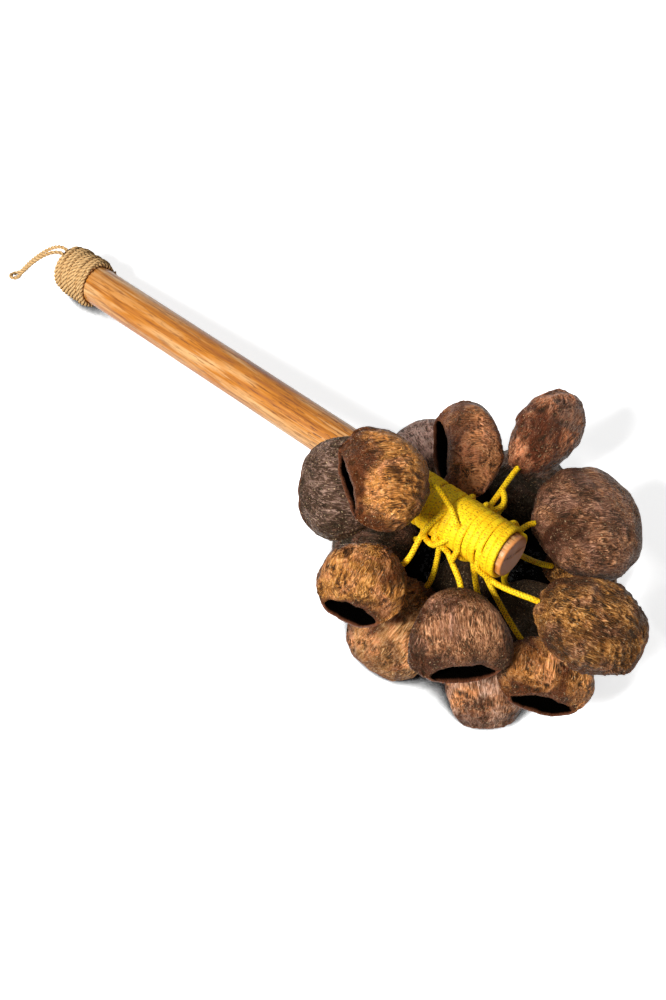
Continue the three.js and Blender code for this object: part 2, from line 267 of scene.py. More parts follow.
def lofted(rings: np.ndarray) -> tuple[np.ndarray, list[tuple[int, ...]]]:
    """Joins rings of points into one skin, closed by a fan at either end.

    Args:
        rings: Points as rows, columns and x, y, z.

    Returns:
        The points, with the middles of both fans last, and the faces.
    """
    rows, cols, _ = rings.shape
    after = [(j + 1) % cols for j in range(cols)]
    faces: list[tuple[int, ...]] = []
    for i in range(rows - 1):
        low, high = i * cols, (i + 1) * cols
        faces.extend((low + j, low + k, high + k, high + j) for j, k in enumerate(after))
    count, last = rows * cols, (rows - 1) * cols
    faces.extend((count, k, j) for j, k in enumerate(after))
    faces.extend((count + 1, last + j, last + k) for j, k in enumerate(after))
    return np.vstack([rings.reshape(-1, 3), rings[0].mean(axis=0), rings[-1].mean(axis=0)]), faces


class Skin:
    """Points, faces and per-point marks of a piece while it is being made, in millimetres."""

    def __init__(self) -> None:
        """Starts an empty skin."""
        self.points: list[np.ndarray] = []
        self.faces: list[tuple[int, ...]] = []
        self.marks: dict[str, list[np.ndarray]] = {}
        self.count = 0

    def add(self, points: np.ndarray, faces: list[tuple[int, ...]], **marks: np.ndarray) -> None:
        """Adds a closed patch.

        Args:
            points: The patch's points.
            faces: Its faces, numbered from its own first point.
            **marks: One value or one vector for each point, by name.
        """
        self.points.append(points)
        self.faces.extend(tuple(i + self.count for i in face) for face in faces)
        for name, values in marks.items():
            self.marks.setdefault(name, []).append(values)
        self.count += len(points)

    def to_object(self, name: str, finish: bpy.types.Material) -> bpy.types.Object:
        """Makes the Blender object, in metres.

        Args:
            name: The piece's name.
            finish: Its material.

        Returns:
            The new object, smooth shaded.
        """
        mesh = bpy.data.meshes.new(name)
        mesh.from_pydata((np.vstack(self.points) * MM).tolist(), [], self.faces)
        for mark, groups in self.marks.items():
            values = np.concatenate(groups)
            kind = "FLOAT" if values.ndim == 1 else "FLOAT_VECTOR"
            layer = mesh.attributes.new(mark, kind, "POINT")
            layer.data.foreach_set("value" if values.ndim == 1 else "vector", values.ravel())
        mesh.polygons.foreach_set("use_smooth", [True] * len(mesh.polygons))
        mesh.update()
        mesh.validate()
        mesh.materials.append(finish)
        LOG.info("%s: %d faces", name, len(mesh.polygons))
        return placed(name, mesh)


def run_along(path: np.ndarray) -> np.ndarray:
    """Distance along a path at each of its points."""
    return np.concatenate([[0], np.cumsum(np.linalg.norm(np.diff(path, axis=0), axis=1))])


def round_turns(count: int) -> np.ndarray:
    """Angles spaced evenly round a circle, in radians."""
    return np.linspace(0, 2 * math.pi, count, endpoint=False)


def unrolled(run: np.ndarray, side: np.ndarray, other: np.ndarray) -> np.ndarray:
    """Gives each point of a tube its place in the tube's own straight axes.

    Args:
        run: Distance along the tube, one for each ring.
        side: Place across the tube, one for each point of a ring.
        other: Place across the tube the other way.

    Returns:
        One row for each point.
    """
    rings, sides = len(run), len(side)
    return np.stack([np.repeat(run, sides), np.tile(side, rings), np.tile(other, rings)], axis=1)


def bezier(pulls: Sequence[np.ndarray], steps: int) -> np.ndarray:
    """Draws a cubic curve.

    Args:
        pulls: Its start, two pulls and its end.
        steps: How many points.

    Returns:
        The curve's points.
    """
    share = np.linspace(0, 1, steps)[:, None]
    weights = ((1 - share) ** 3, 3 * share * (1 - share) ** 2, 3 * share**2 * (1 - share), share**3)
    return sum(weight * pull for weight, pull in zip(weights, pulls))


def evenly(path: np.ndarray, step: float) -> np.ndarray:
    """Spaces points evenly along a path.

    Args:
        path: Points that the path goes through.
        step: Spacing wanted.

    Returns:
        The new points, ends included.
    """
    run = run_along(path)
    count = max(3, int(round(run[-1] / step)) + 1)
    at = np.linspace(0, run[-1], count)
    return np.stack([np.interp(at, run, path[:, i]) for i in range(3)], axis=1)


def smoothed(path: np.ndarray, rounds: int) -> np.ndarray:
    """Takes the kinks out of a path, with its ends kept.

    Args:
        path: The path's points.
        rounds: How often each point moves towards its neighbours.

    Returns:
        The smoother path.
    """
    out = path.copy()
    for _ in range(rounds):
        out[1:-1] = 0.5 * out[1:-1] + 0.25 * (out[:-2] + out[2:])
    return out


def frames_along(path: np.ndarray) -> tuple[np.ndarray, np.ndarray]:
    """Gives two directions across a path at each point that turn with it as little as they can.

    Args:
        path: The path's points.

    Returns:
        The two directions, one row for each point.
    """
    along = unit(np.gradient(path, axis=0))
    side = np.zeros_like(path)
    side[0] = unit(np.cross(along[0], [0.3, 0.5, 0.8]))
    for i in range(1, len(path)):
        carried = side[i - 1] - along[i] * np.dot(side[i - 1], along[i])
        side[i] = unit(carried)
    return side, np.cross(along, side)


# Finishes


@dataclass(frozen=True)
class BraidedCord:
    """Polypropylene braid, dyed yellow: soft sheen, with painted shade in the pit at each crossing of its
    strands.
    """

    bright: str = "#FFD61A"
    warm: str = "#FFB400"
    # Colour of the painted shade in the braid's pits and between its stitches
    pit: str = "#864600"
    fibre_mm: float = 0.45
    cloud_mm: float = 9.0
    stitch_mm: float = 1.0
    bump_mm: float = 0.25
    roughness: float = 0.62
    specular: float = 0.2

    def material(self) -> bpy.types.Material:
        """Makes the material.

        Returns:
            The new material.
        """
        made, add = new_material("braided_yellow_cord")
        place = add("Attribute", out="Vector", attribute_name="cord_mm")
        crease = add("Attribute", out="Fac", attribute_name="crease")
        noise = {"Vector": place, "Scale": 1 / self.fibre_mm, "Detail": 3.0, "Roughness": 0.6}
        fuzz = add("TexNoise", noise)
        cloud = add("TexNoise", {"Vector": place, "Scale": 1 / self.cloud_mm, "Detail": 2.0})
        # The sum runs from about 0.7 to 1.3, so the ramp works on its lower half.
        blend = add("Math", {0: fuzz, 1: cloud}, operation="ADD")
        colour = add("ValToRGB", {"Fac": blend}, stops=((0.72, self.warm), (1.0, self.bright)))
        # Between the stitches fine dark grains are painted as shade in the gaps between strands, drawn as
        # coarse as they show.
        grain = add("TexVoronoi", {"Vector": place, "Scale": 1 / self.stitch_mm})
        stitch_shade = add("MapRange", {"Value": grain, "From Min": 0.4, "From Max": 0.14, "To Max": 0.72})
        # The crease mark adds painted shade in the pits where the strands cross.
        for factor in (stitch_shade, crease):
            shades = {"Factor": factor, 6: colour, 7: linear(self.pit)}
            colour = add("Mix", shades, 2, data_type="RGBA")
        relief = {"Height": fuzz, "Strength": 0.35, "Distance": self.bump_mm * MM}
        inputs = {
            "Base Color": colour,
            "Normal": add("Bump", relief),
            "Roughness": self.roughness,
            "Specular IOR Level": self.specular,
        }
        return set_shader(made, inputs)


@dataclass(frozen=True)
class NaturalTwine:
    """Jute twine, twisted and unsized: matt straw colour, hairy, with painted shade between its plies."""

    straw: str = "#DCB67E"
    tan: str = "#B4864C"
    shade: str = "#66472A"
    fibre_mm: float = 0.6
    fibre_length_mm: float = 2.4
    bump_mm: float = 0.35
    roughness: float = 0.9

    def material(self) -> bpy.types.Material:
        """Makes the material.

        Returns:
            The new material.
        """
        made, add = new_material("natural_twine")
        place = add("Attribute", out="Vector", attribute_name="cord_mm")
        crease = add("Attribute", out="Fac", attribute_name="crease")
        # Fibres are finer than a pixel at this distance, so they are drawn as coarse as they show.
        finer = (1 / self.fibre_length_mm, 1 / self.fibre_mm, 1 / self.fibre_mm)
        drawn = add("VectorMath", {0: place, 1: finer}, operation="MULTIPLY")
        fibre = add("TexNoise", {"Vector": drawn, "Scale": 1.0, "Detail": 4.0})
        base = add("ValToRGB", {"Fac": fibre}, stops=((0.3, self.tan), (0.62, self.straw)))
        # The crease mark paints shade between the plies.
        shades = {"Factor": crease, 6: base, 7: linear(self.shade)}
        relief = {"Height": fibre, "Strength": 0.7, "Distance": self.bump_mm * MM}
        inputs = {
            "Base Color": add("Mix", shades, 2, data_type="RGBA"),
            "Normal": add("Bump", relief),
            "Roughness": self.roughness,
        }
        return set_shader(made, inputs)


@dataclass(frozen=True)
class VarnishedHardwood:
    """Round hardwood rod, sanded and varnished: long streaks of heartwood, open pores, clear coat."""

    honey: str = "#B6701E"
    pale: str = "#DAB07A"
    rust: str = "#92531E"
    line: str = "#7A4A2C"
    pore: str = "#5C2E12"
    end_grain: str = "#E08C4C"
    streak_mm: float = 5.5
    streak_length_mm: float = 70.0
    grain_mm: float = 1.3
    grain_length_mm: float = 26.0
    pore_mm: float = 0.6
    pore_length_mm: float = 8.0
    bump_mm: float = 0.3
    roughness: float = 0.42
    specular: float = 0.25
    coat: float = 0.12
    coat_roughness: float = 0.25

    def material(self) -> bpy.types.Material:
        """Makes the material.

        Returns:
            The new material.
        """
        made, add = new_material("varnished_hardwood")
        place = add("Attribute", out="Vector", attribute_name="grain_mm")
        ends = add("Attribute", out="Fac", attribute_name="end_face")
        mark = add("Attribute", out="Fac", attribute_name="crease")
        layers = {}
        for name, across, length, detail, bend in (
            ("streak", self.streak_mm, self.streak_length_mm, 5.0, 0.9),
            ("grain", self.grain_mm, self.grain_length_mm, 4.0, 0.7),
            ("pore", self.pore_mm, self.pore_length_mm, 2.0, 0.6),
        ):
            finer = (1 / length, 1 / across, 1 / across)
            drawn = add("VectorMath", {0: place, 1: finer}, operation="MULTIPLY")
            noise = {"Vector": drawn, "Scale": 1.0, "Detail": detail, "Distortion": bend}
            layers[name] = add("TexNoise", noise)
        tones = ((0.3, self.rust), (0.46, self.honey), (0.7, self.pale))
        wood = add("ValToRGB", {"Fac": layers["streak"]}, stops=tones)
        lines = add("ValToRGB", {"Fac": layers["grain"]}, stops=((0.32, self.line), (0.48, WHITE)))
        shades = {"Factor": 0.65, 6: wood, 7: lines}
        colour = add("Mix", shades, 2, data_type="RGBA", blend_type="MULTIPLY")
        pores = add("MapRange", {"Value": layers["pore"], "From Min": 0.59, "From Max": 0.64})
        # The far half of the stick is cleaner than the half near the nuts.
        along = add("SeparateXYZ", {0: place})
        cleaner = {"Value": along, "From Min": 40.0, "From Max": 240.0, "To Min": 0.4, "To Max": 0.9}
        near = add("MapRange", cleaner)
        shown = add("Math", {0: pores, 1: near}, operation="MULTIPLY")
        for factor, tone in ((shown, self.pore), (ends, self.end_grain), (mark, self.pore)):
            shades = {"Factor": factor, 6: colour, 7: linear(tone)}
            colour = add("Mix", shades, 2, data_type="RGBA")
        relief = {"Height": layers["grain"], "Strength": 0.25, "Distance": self.bump_mm * MM}
        inputs = {
            "Base Color": colour,
            "Normal": add("Bump", relief),
            "Roughness": self.roughness,
            "Specular IOR Level": self.specular,
            "Coat Weight": self.coat,
            "Coat Roughness": self.coat_roughness,
        }
        return set_shader(made, inputs)


class HuskTone(Enum):
    """Colours of a husk: hollows between its fibres, darkened as painted shade, body, and fibre tops,
    paler partly as painted light.
    """

    GOLDEN = ("#42210D", "#DB8C43", "#FFB868")
    STRAW = ("#2E1508", "#BA7534", "#FAB766")
    AMBER = ("#2A1408", "#DA8B44", "#FDBA72")
    TOBACCO = ("#261207", "#A1662E", "#F9B568")
    BROWN = ("#2A150B", "#DB8C57", "#FEB680")
    COCOA = ("#28140B", "#97603F", "#EDAD7E")
    UMBER = ("#2E1A14", "#8B5C45", "#D69B7E")
    RUST = ("#34180E", "#E38C5E", "#FDBA8E")
    SMOKE = ("#1C110E", "#5B4034", "#BD9987")
    MAUVE = ("#48322A", "#DAA999", "#F2CBB9")
    OLIVE = ("#381E0A", "#C5864E", "#F7C48A")
    ASHEN = ("#46291D", "#C58D6F", "#F9CEB1")
    # Near-black copy of a husk for the nuts that lie in shadow under the others: painted shade
    DARK = ("#0E0907", "#281A12", "#5A3E28")


class Grain(Enum):
    """How a husk's folds lie: length, breadth, wander, height, share of fine folds, least depth."""

    RIDGED = (14.0, 4.0, 0.9, 1.15, 0.4, 0.3)
    SWIRLED = (11.0, 4.0, 1.7, 1.05, 0.45, 0.3)
    CRACKLED = (7.0, 5.0, 1.0, 1.6, 0.45, 0.75)
    FELTED = (7.0, 3.4, 1.2, 0.7, 0.55, 0.25)
    PEBBLED = (4.8, 3.4, 0.8, 0.8, 0.55, 0.25)

    def relief(self, points: np.ndarray, seed: int) -> np.ndarray:
        """Works out how high the husk stands at each place.

        Args:
            points: Places in the nut's own axes, mouth along +X.
            seed: Picks the pattern.

        Returns:
            Zero in the deepest crease to one on a fold's top.
        """
        length, breadth, wander, _, fine, least = self.value
        near = points / FOLD_BEND_MM
        bent = np.stack([layered(near + 17.3 * k, seed + k, 2) for k in (1, 2, 3)], axis=1)
        folded = points / np.array([length, breadth, breadth]) + wander * bent
        # Some stretches of husk are deeply folded and others nearly smooth.
        depth = np.clip(0.7 + 1.1 * layered(points / FOLD_DEPTH_MM + 3.7, seed + 5, 2), least, 1)
        first, second = (
            np.clip(1 - FOLD_SHARPNESS * np.abs(noise_at(at, seed + pick)), 0, 1)
            for at, pick in ((folded, 11), (folded * FINE_FOLDS + 5.1, 12))
        )
        height = (1 - fine) * first + fine * second * (0.5 + 0.5 * first)
        return np.clip(SMOOTH_HEIGHT + depth * (height - SMOOTH_HEIGHT), 0, 1)


@dataclass(frozen=True)
class NutHusk:
    """Dried nut husk: fibrous and folded outside with a dull shine on its ridges, inside painted near
    black as painted shade.
    """

    tone: HuskTone
    patch: HuskTone
    fibre_mm: float = 0.7
    fibre_length_mm: float = 5.0
    ridge_mm: float = 2.3
    ridge_length_mm: float = 13.0
    patch_mm: float = 13.0
    stain_mm: float = 24.0
    worn_mm: float = 8.0
    painted_glint_mm: float = 0.8
    bump_mm: float = 1.5
    # Painted shade on the flanks, round the outline seen from above
    flank_shade: float = 0.13
    specular: float = 0.36
    hollow: str = "#040302"
    rim: str = "#7A452E"
    stain: str = "#6E5650"
    # Pale specks that stand in for glints on the fibres, a painted highlight
    painted_glint: str = "#E6C79A"
    glint: str = "#FFDCA8"

    def material(self) -> bpy.types.Material:
        """Makes the material.

        Returns:
            The new material, or the one already made for these tones.
        """
        name = f"nut_husk_{self.tone.name}_{self.patch.name}".lower()
        if name in bpy.data.materials:
            return bpy.data.materials[name]
        made, add = new_material(name)
        place = add("Attribute", out="Vector", attribute_name="husk_mm")
        marks = {
            mark: add("Attribute", out="Fac", attribute_name=mark)
            for mark in ("relief", "crease", "hollow", "rim", "flank")
        }
        layers = {}
        for layer, across, length, detail, bend in (
            ("fibre", self.fibre_mm, self.fibre_length_mm, 3.0, 1.0),
            ("ridge", self.ridge_mm, self.ridge_length_mm, 1.0, 1.7),
            ("patch", self.patch_mm, self.patch_mm, 4.0, 0.8),
            ("stain", self.stain_mm, self.stain_mm, 3.0, 0.6),
            ("worn", self.worn_mm, self.worn_mm, 2.0, 0.8),
            ("painted_glint", self.painted_glint_mm, self.painted_glint_mm, 2.0, 0.5),
        ):
            finer = (1 / length, 1 / across, 1 / across)
            drawn = add("VectorMath", {0: place, 1: finer}, operation="MULTIPLY")
            noise = {"Vector": drawn, "Scale": 1.0, "Detail": detail, "Distortion": bend}
            layers[layer] = add("TexNoise", {**noise, "Roughness": 0.52})
        # Noise keeps near its middle, so the fibres are spread before they join the folds.
        spread = add("MapRange", {"Value": layers["fibre"], "From Min": 0.38, "From Max": 0.63})
        mixed = add("Mix", {"Factor": 0.4, 2: marks["relief"], 3: spread})
        # A thin raised fibre runs where this noise passes through its middle.
        off = add("Math", {0: layers["ridge"], 1: 0.5}, operation="SUBTRACT")
        away = add("Math", {0: off}, operation="ABSOLUTE")
        ridge = add("MapRange", {"Value": away, "From Max": 0.1, "To Min": 1.0, "To Max": 0.0})
        # Some stretches are strung with such fibres and others are worn smooth.
        worn = {"Value": layers["worn"], "From Min": 0.42, "From Max": 0.6, "To Min": 0.2, "To Max": 0.58}
        height = add("Mix", {"Factor": add("MapRange", worn), 2: mixed, 3: ridge})
        # Colour follows how high the husk stands: darkened in the hollows between fibres as painted
        # shade, and paler on fibre tops, partly their own colour and partly painted light.
        tones = [
            add("ValToRGB", {"Fac": height}, stops=((0.12, low), (0.44, body), (0.82, top)))
            for low, body, top in (self.tone.value, self.patch.value)
        ]
        where = add("MapRange", {"Value": layers["patch"], "From Min": 0.46, "From Max": 0.62})
        colour = add("Mix", {"Factor": where, 6: tones[0], 7: tones[1]}, 2, data_type="RGBA")
        # Stains lie at random, and the flanks round the husk's outline seen from above are darkened too,
        # as painted shade.
        flanks = {0: marks["flank"], 1: -self.flank_shade, 2: layers["stain"]}
        stain_and_flank_shade = add("Math", flanks, operation="MULTIPLY_ADD")
        stain_and_shade_tint = add("ValToRGB", {"Fac": stain_and_flank_shade}, stops=((0.36, self.stain), (0.54, WHITE)))
        shades = {"Factor": 1.0, 6: colour, 7: stain_and_shade_tint}
        colour = add("Mix", shades, 2, data_type="RGBA", blend_type="MULTIPLY")
        # Pale specks painted into the colour stand in for glints on the fibres, a painted highlight.
        painted_glint_range = {"Value": layers["painted_glint"], "From Min": 0.64, "From Max": 0.72, "To Max": 0.75}
        for factor, shade in (
            (add("MapRange", painted_glint_range), self.painted_glint),
            # Painted shade in the deepest folds and the tie hole's dimple.
            (marks["crease"], self.tone.value[0]),
            (marks["rim"], self.rim),
            # The inside is painted near black as painted shade.
            (marks["hollow"], self.hollow),
        ):
            shades = {"Factor": factor, 6: colour, 7: linear(shade)}
            colour = add("Mix", shades, 2, data_type="RGBA")
        rubbed = {"Value": height, "From Min": 0.3, "From Max": 0.75, "To Min": 0.6, "To Max": 0.24}
        rough = add("MapRange", rubbed)
        bump = add("Bump", {"Height": height, "Strength": 1.0, "Distance": self.bump_mm * MM})
        dull = add("Math", {0: rough, 1: marks["hollow"]}, operation="MAXIMUM")
        # Fibres shine golden, and the inside, painted near black as painted shade, doesn't shine.
        shades = {"Factor": marks["hollow"], 6: linear(self.glint), 7: (0, 0, 0, 1)}
        inputs = {
            "Base Color": colour,
            "Roughness": dull,
            "Specular Tint": add("Mix", shades, 2, data_type="RGBA"),
            "Normal": bump,
            "Specular IOR Level": self.specular,
        }
        return set_shader(made, inputs)


# Sub-assemblies


@dataclass
class Handle:
    """Where the stick's axis runs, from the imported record."""

    far: np.ndarray = field(init=False)
    end: np.ndarray = field(init=False)
    axis: np.ndarray = field(init=False)
    across: np.ndarray = field(init=False)
    up: np.ndarray = field(init=False)

    def __post_init__(self) -> None:
        """Reads both ends of the stick from the record's mounts."""
        ends = {m["name"]: np.array(m["pos_m"]) / MM for m in frame["record"]["mounts"]}
        self.far = ends["far_end_face"]
        self.end = ends["head_end_face"]
        self.axis = unit(self.end - self.far)
        self.across = np.array([0.0, 1.0, 0.0])
        self.up = np.cross(self.axis, self.across)

    def at(self, along: np.ndarray, out: np.ndarray, turn: np.ndarray) -> np.ndarray:
        """Places points round the stick.

        Args:
            along: Distance from the far end.
            out: Distance from the axis.
            turn: Angle from sideways towards up, in radians.

        Returns:
            The points.
        """
        along, out, turn = np.broadcast_arrays(along, out, turn)
        ring = np.cos(turn)[..., None] * self.across + np.sin(turn)[..., None] * self.up
        return self.far + along[..., None] * self.axis + out[..., None] * ring


@dataclass
class Stick:
    """The varnished stick, with a sawn and bevelled end."""

    handle: Handle
    bevel: float = 0.8
    sides: int = 96
    rows: int = 200
    wave: float = 0.008
    wave_mm: float = 55.0
    crack_way: tuple[float, float] = (0.45, 0.9)
    crack_off: float = 1.6
    crack_width: float = 0.55
    crack_reach: float = 7.5
    crack_depth: float = 0.9
    crack_tone: float = 0.75
    face_tone: float = 0.9
    bevel_tone: float = 0.75
    face_slack: float = 0.05

    def build(self) -> bpy.types.Object:
        """Makes the stick over its CAD node.

        Returns:
            The piece.
        """
        # The head's sawn face has more rings than the far one, so that the crack across it shows.
        flat = STICK_RADIUS - self.bevel
        round_off = STICK_RADIUS - self.bevel * 0.35
        head = STICK_LENGTH - np.array([self.bevel / 3, 0, 0, 0, 0, 0, 0])
        body = np.linspace(self.bevel, STICK_LENGTH - self.bevel, self.rows)
        along = np.concatenate([[0, 0, 0, self.bevel / 3], body, head])
        start = [flat * 0.5, flat * 0.95, flat, round_off]
        finish = [round_off, flat] + [flat * share for share in (0.95, 0.75, 0.5, 0.3, 0.12)]
        out = np.concatenate([start, np.full(self.rows, STICK_RADIUS), finish])
        grid_along, grid_turn = np.meshgrid(along, round_turns(self.sides), indexing="ij")
        grid_out = np.repeat(out[:, None], self.sides, axis=1)
        cosine, sine = np.cos(grid_turn), np.sin(grid_turn)
        bent = (grid_along / self.wave_mm, cosine * 1.3, sine * 1.3)
        wave = layered(np.stack([b.ravel() for b in bent], axis=1), 3, 3).reshape(grid_out.shape)
        grid_out = grid_out * (1 + self.wave * (wave - 0.4))
        near_head = STICK_LENGTH - self.face_slack
        sawn = (grid_along >= near_head) | (grid_along <= self.face_slack)
        edge = (grid_along > STICK_LENGTH - 1.01 * self.bevel) | (grid_along < 1.01 * self.bevel)
        side_mm, up_mm = grid_out * cosine, grid_out * sine
        # A drying crack runs across the sawn end, off its middle.
        lean, rise = self.crack_way
        off = (side_mm * lean + up_mm * rise - self.crack_off) / self.crack_width
        crack = np.exp(-(off**2))
        crack *= (np.abs(side_mm * rise - up_mm * lean) < self.crack_reach) * (grid_along > near_head)
        place = self.handle.at(grid_along - self.crack_depth * crack, grid_out, grid_turn)
        points, faces = lofted(place)
        grain = np.stack([grid_along.ravel(), side_mm.ravel(), up_mm.ravel()], axis=1)
        caps = np.array([[0.0, 0.0, 0.0], [STICK_LENGTH, 0.0, 0.0]])
        shade = np.where(sawn, self.face_tone, self.bevel_tone * edge)
        skin = Skin()
        skin.add(
            points,
            faces,
            grain_mm=np.vstack([grain, caps]),
            end_face=np.concatenate([shade.ravel(), [self.face_tone, self.face_tone]]),
            crease=np.concatenate([self.crack_tone * crack.ravel(), [0, 0]]),
        )
        made = skin.to_object("stick_varnished", VarnishedHardwood().material())
        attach(made, "handle")
        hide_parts("stick")
        return made


@dataclass
class BraidedTube:
    """A round braided cord, or a flattened one where the sides are given."""

    radius: float = 0.47 * CORD_DIAMETER
    sides: int = 24
    step: float = 0.28
    stitch_mm: float = 1.7
    flat: float = 1.0
    pit: float = 0.09
    dot: float = 1.9
    dot_power: int = 5
    strand: float = 0.35

    def add_to(
        self,
        skin: Skin,
        path: np.ndarray,
        radii: np.ndarray | None = None,
        sides_of: tuple[np.ndarray, np.ndarray] | None = None,
        half_sizes: tuple[float, float] | None = None,
    ) -> None:
        """Adds the cord along a path.

        Args:
            skin: The skin that takes it.
            path: Evenly spaced points.
            radii: Radius at each point, or None for the cord's own.
            sides_of: Two directions across the path, or None to find them.
            half_sizes: Half width and half thickness along those directions, or None if round.
        """
        side, other = sides_of if sides_of else frames_along(path)
        run = run_along(path)
        turn = round_turns(self.sides)
        lean = math.pi * run[:, None] / self.stitch_mm
        over = np.abs(np.cos(2 * turn[None, :] + lean) * np.cos(2 * turn[None, :] - lean))
        dots = over**self.dot_power
        relief = 1 - self.pit * dots + self.strand * self.pit * (1 - over)
        if radii is None:
            radii = np.full(len(path), self.radius)
        wide, thick = half_sizes if half_sizes else (1.0, 1.0)
        scale = relief * (1.0 if half_sizes else radii[:, None])
        cosine = np.sign(np.cos(turn)) * np.abs(np.cos(turn)) ** self.flat
        sine = np.sign(np.sin(turn)) * np.abs(np.sin(turn)) ** self.flat
        ring = (scale * wide * cosine)[..., None] * side[:, None, :]
        ring = ring + (scale * thick * sine)[..., None] * other[:, None, :]
        points, faces = lofted(path[:, None, :] + ring)
        place = unrolled(run, self.radius * np.cos(turn), self.radius * np.sin(turn))
        caps = np.array([[0.0, 0.0, 0.0], [run[-1], 0.0, 0.0]])
        # The crease mark is painted shade in the pits where the strands cross.
        crease = np.clip(self.dot * dots, 0, 1)
        skin.add(
            points,
            faces,
            cord_mm=np.vstack([place, caps]),
            crease=np.concatenate([crease.ravel(), [0, 0]]),
        )


@dataclass
class CordWinding:
    """The yellow cord wound tight round the head of the stick, in a few packed bands."""

    handle: Handle
    bands: tuple[float, ...] = (0.0, 3.2, 7.1, 11.3, 13.4, 16.0)
    width: float = 3.95
    thickness: float = 2.3
    crown: float = 0.5
    crown_power: float = 0.22
    crown_middle: float = 0.45
    lean: float = 1.1
    lean_shift: float = 0.8
    pull: float = 0.08
    sunk: float = 0.35
    overrun: float = 0.02

    def build(self) -> bpy.types.Object:
        """Makes the winding over its CAD node.

        Returns:
            The piece.
        """
        steps = WINDING_TURNS * STEPS_PER_TURN
        turns = np.linspace(-self.overrun, WINDING_TURNS + self.overrun, steps)
        edges = np.array(self.bands)
        band = np.clip(np.searchsorted(edges, turns, side="right") - 1, 0, len(edges) - 2)
        share = np.clip((turns - edges[band]) / (edges[band + 1] - edges[band]), 0, 1)
        full = np.sin(math.pi * share) ** self.crown_power
        pulled = (share - 0.5) * (edges[band + 1] - edges[band])
        start = STICK_LENGTH - WINDING_INSET - WINDING_LENGTH
        along = start + WINDING_PITCH * (turns - self.pull * pulled)
        # The turns lean with the hand that laid them, less towards either end.
        ends = np.sin(math.pi * turns / WINDING_TURNS).clip(0, 1)
        along = along + self.lean * ends * np.sin(2 * math.pi * turns + self.lean_shift * band)
        seat = STICK_RADIUS + SEAT_GAP + self.thickness / 2 - self.sunk
        radius = seat + self.crown * (full - self.crown_middle)
        path = self.handle.at(along, radius, 2 * math.pi * turns)
        out = unit(path - (self.handle.far + along[:, None] * self.handle.axis))
        axis = np.repeat(self.handle.axis[None, :], len(path), axis=0)
        skin = Skin()
        tube = BraidedTube(sides=18, pit=0.03, dot=0.8, flat=0.72)
        half_sizes = (self.width / 2, self.thickness / 2)
        tube.add_to(skin, path, sides_of=(axis, out), half_sizes=half_sizes)
        self.add_bights(skin)
        made = skin.to_object("winding_braided", BraidedCord().material())
        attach(made, "handle")
        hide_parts("cord_winding")
        return made

    def add_bights(self, skin: Skin) -> None:
        """Adds a small loop of slack and the cord's cut end, which stand off the turns.

        Args:
            skin: The winding's skin.
        """
        cord = BraidedTube()
        # Each row is a distance from the far end, a height over the turns and a turn in degrees.
        slack = (
            ((293, -1.2, 158), (290, 1.2, 174), (287, 2.4, 190), (284, 3.4, 204), (281, 3.4, 206),
             (279, 2.4, 196), (278.5, 1.2, 182), (279.5, -1.4, 168)),
            ((298.5, -1.6, 176), (298, 0.6, 186), (297.5, 2.8, 196), (297, 5.4, 203)),
        )
        for knots in slack:
            along, over, turn = np.array(knots, dtype=float).T
            route = self.handle.at(along, WINDING_OUTER + over, np.radians(turn))
            fine = evenly(smoothed(evenly(route, 0.6), 10), cord.step)
            taper = np.full(len(fine), cord.radius)
            taper[-4:] *= (0.97, 0.88, 0.7, 0.4)
            cord.add_to(skin, fine, radii=taper)


@dataclass
class TwistedTwine:
    """Two plies of twine twisted round each other along a path."""

    diameter: float = TWINE_DIAMETER
    lay_mm: float = 5.2
    slub_mm: float = 1.3
    slub: float = 0.12
    ply_off: float = 0.25
    ply_radius: float = 0.29
    sides: int = 10
    step: float = 0.55

    def add_to(self, skin: Skin, path: np.ndarray, phase: float = 0.0) -> None:
        """Adds the twine along a path.

        Args:
            skin: The skin that takes it.
            path: Evenly spaced points.
            phase: Where the twist starts, in radians.
        """
        side, other = frames_along(path)
        run = run_along(path)
        turn = round_turns(self.sides)
        for ply in range(2):
            lean = 2 * math.pi * run / self.lay_mm + math.pi * ply + phase
            away = np.cos(lean)[:, None] * side + np.sin(lean)[:, None] * other
            middle = path + self.ply_off * self.diameter * away
            ply_side, ply_other = frames_along(middle)
            rough = noise_at(np.stack([run / self.slub_mm, run * 0 + 7.3 * ply, run * 0], axis=1), 21)
            thick = self.ply_radius * self.diameter * (1 + self.slub * rough)
            ring = np.cos(turn)[None, :, None] * ply_side[:, None, :]
            ring = ring + np.sin(turn)[None, :, None] * ply_other[:, None, :]
            outward = np.sum(ring * away[:, None, :], axis=2)
            points, faces = lofted(middle[:, None, :] + thick[:, None, None] * ring)
            place = unrolled(run, np.cos(turn), np.sin(turn) + 5 * ply)
            # The crease mark is painted shade where a ply faces the other one.
            crease = np.clip(0.35 - 0.55 * outward, 0, 0.85)
            skin.add(
                points,
                faces,
                cord_mm=np.vstack([place, place[:1], place[-1:]]),
                crease=np.concatenate([crease.ravel(), [0, 0]]),
            )


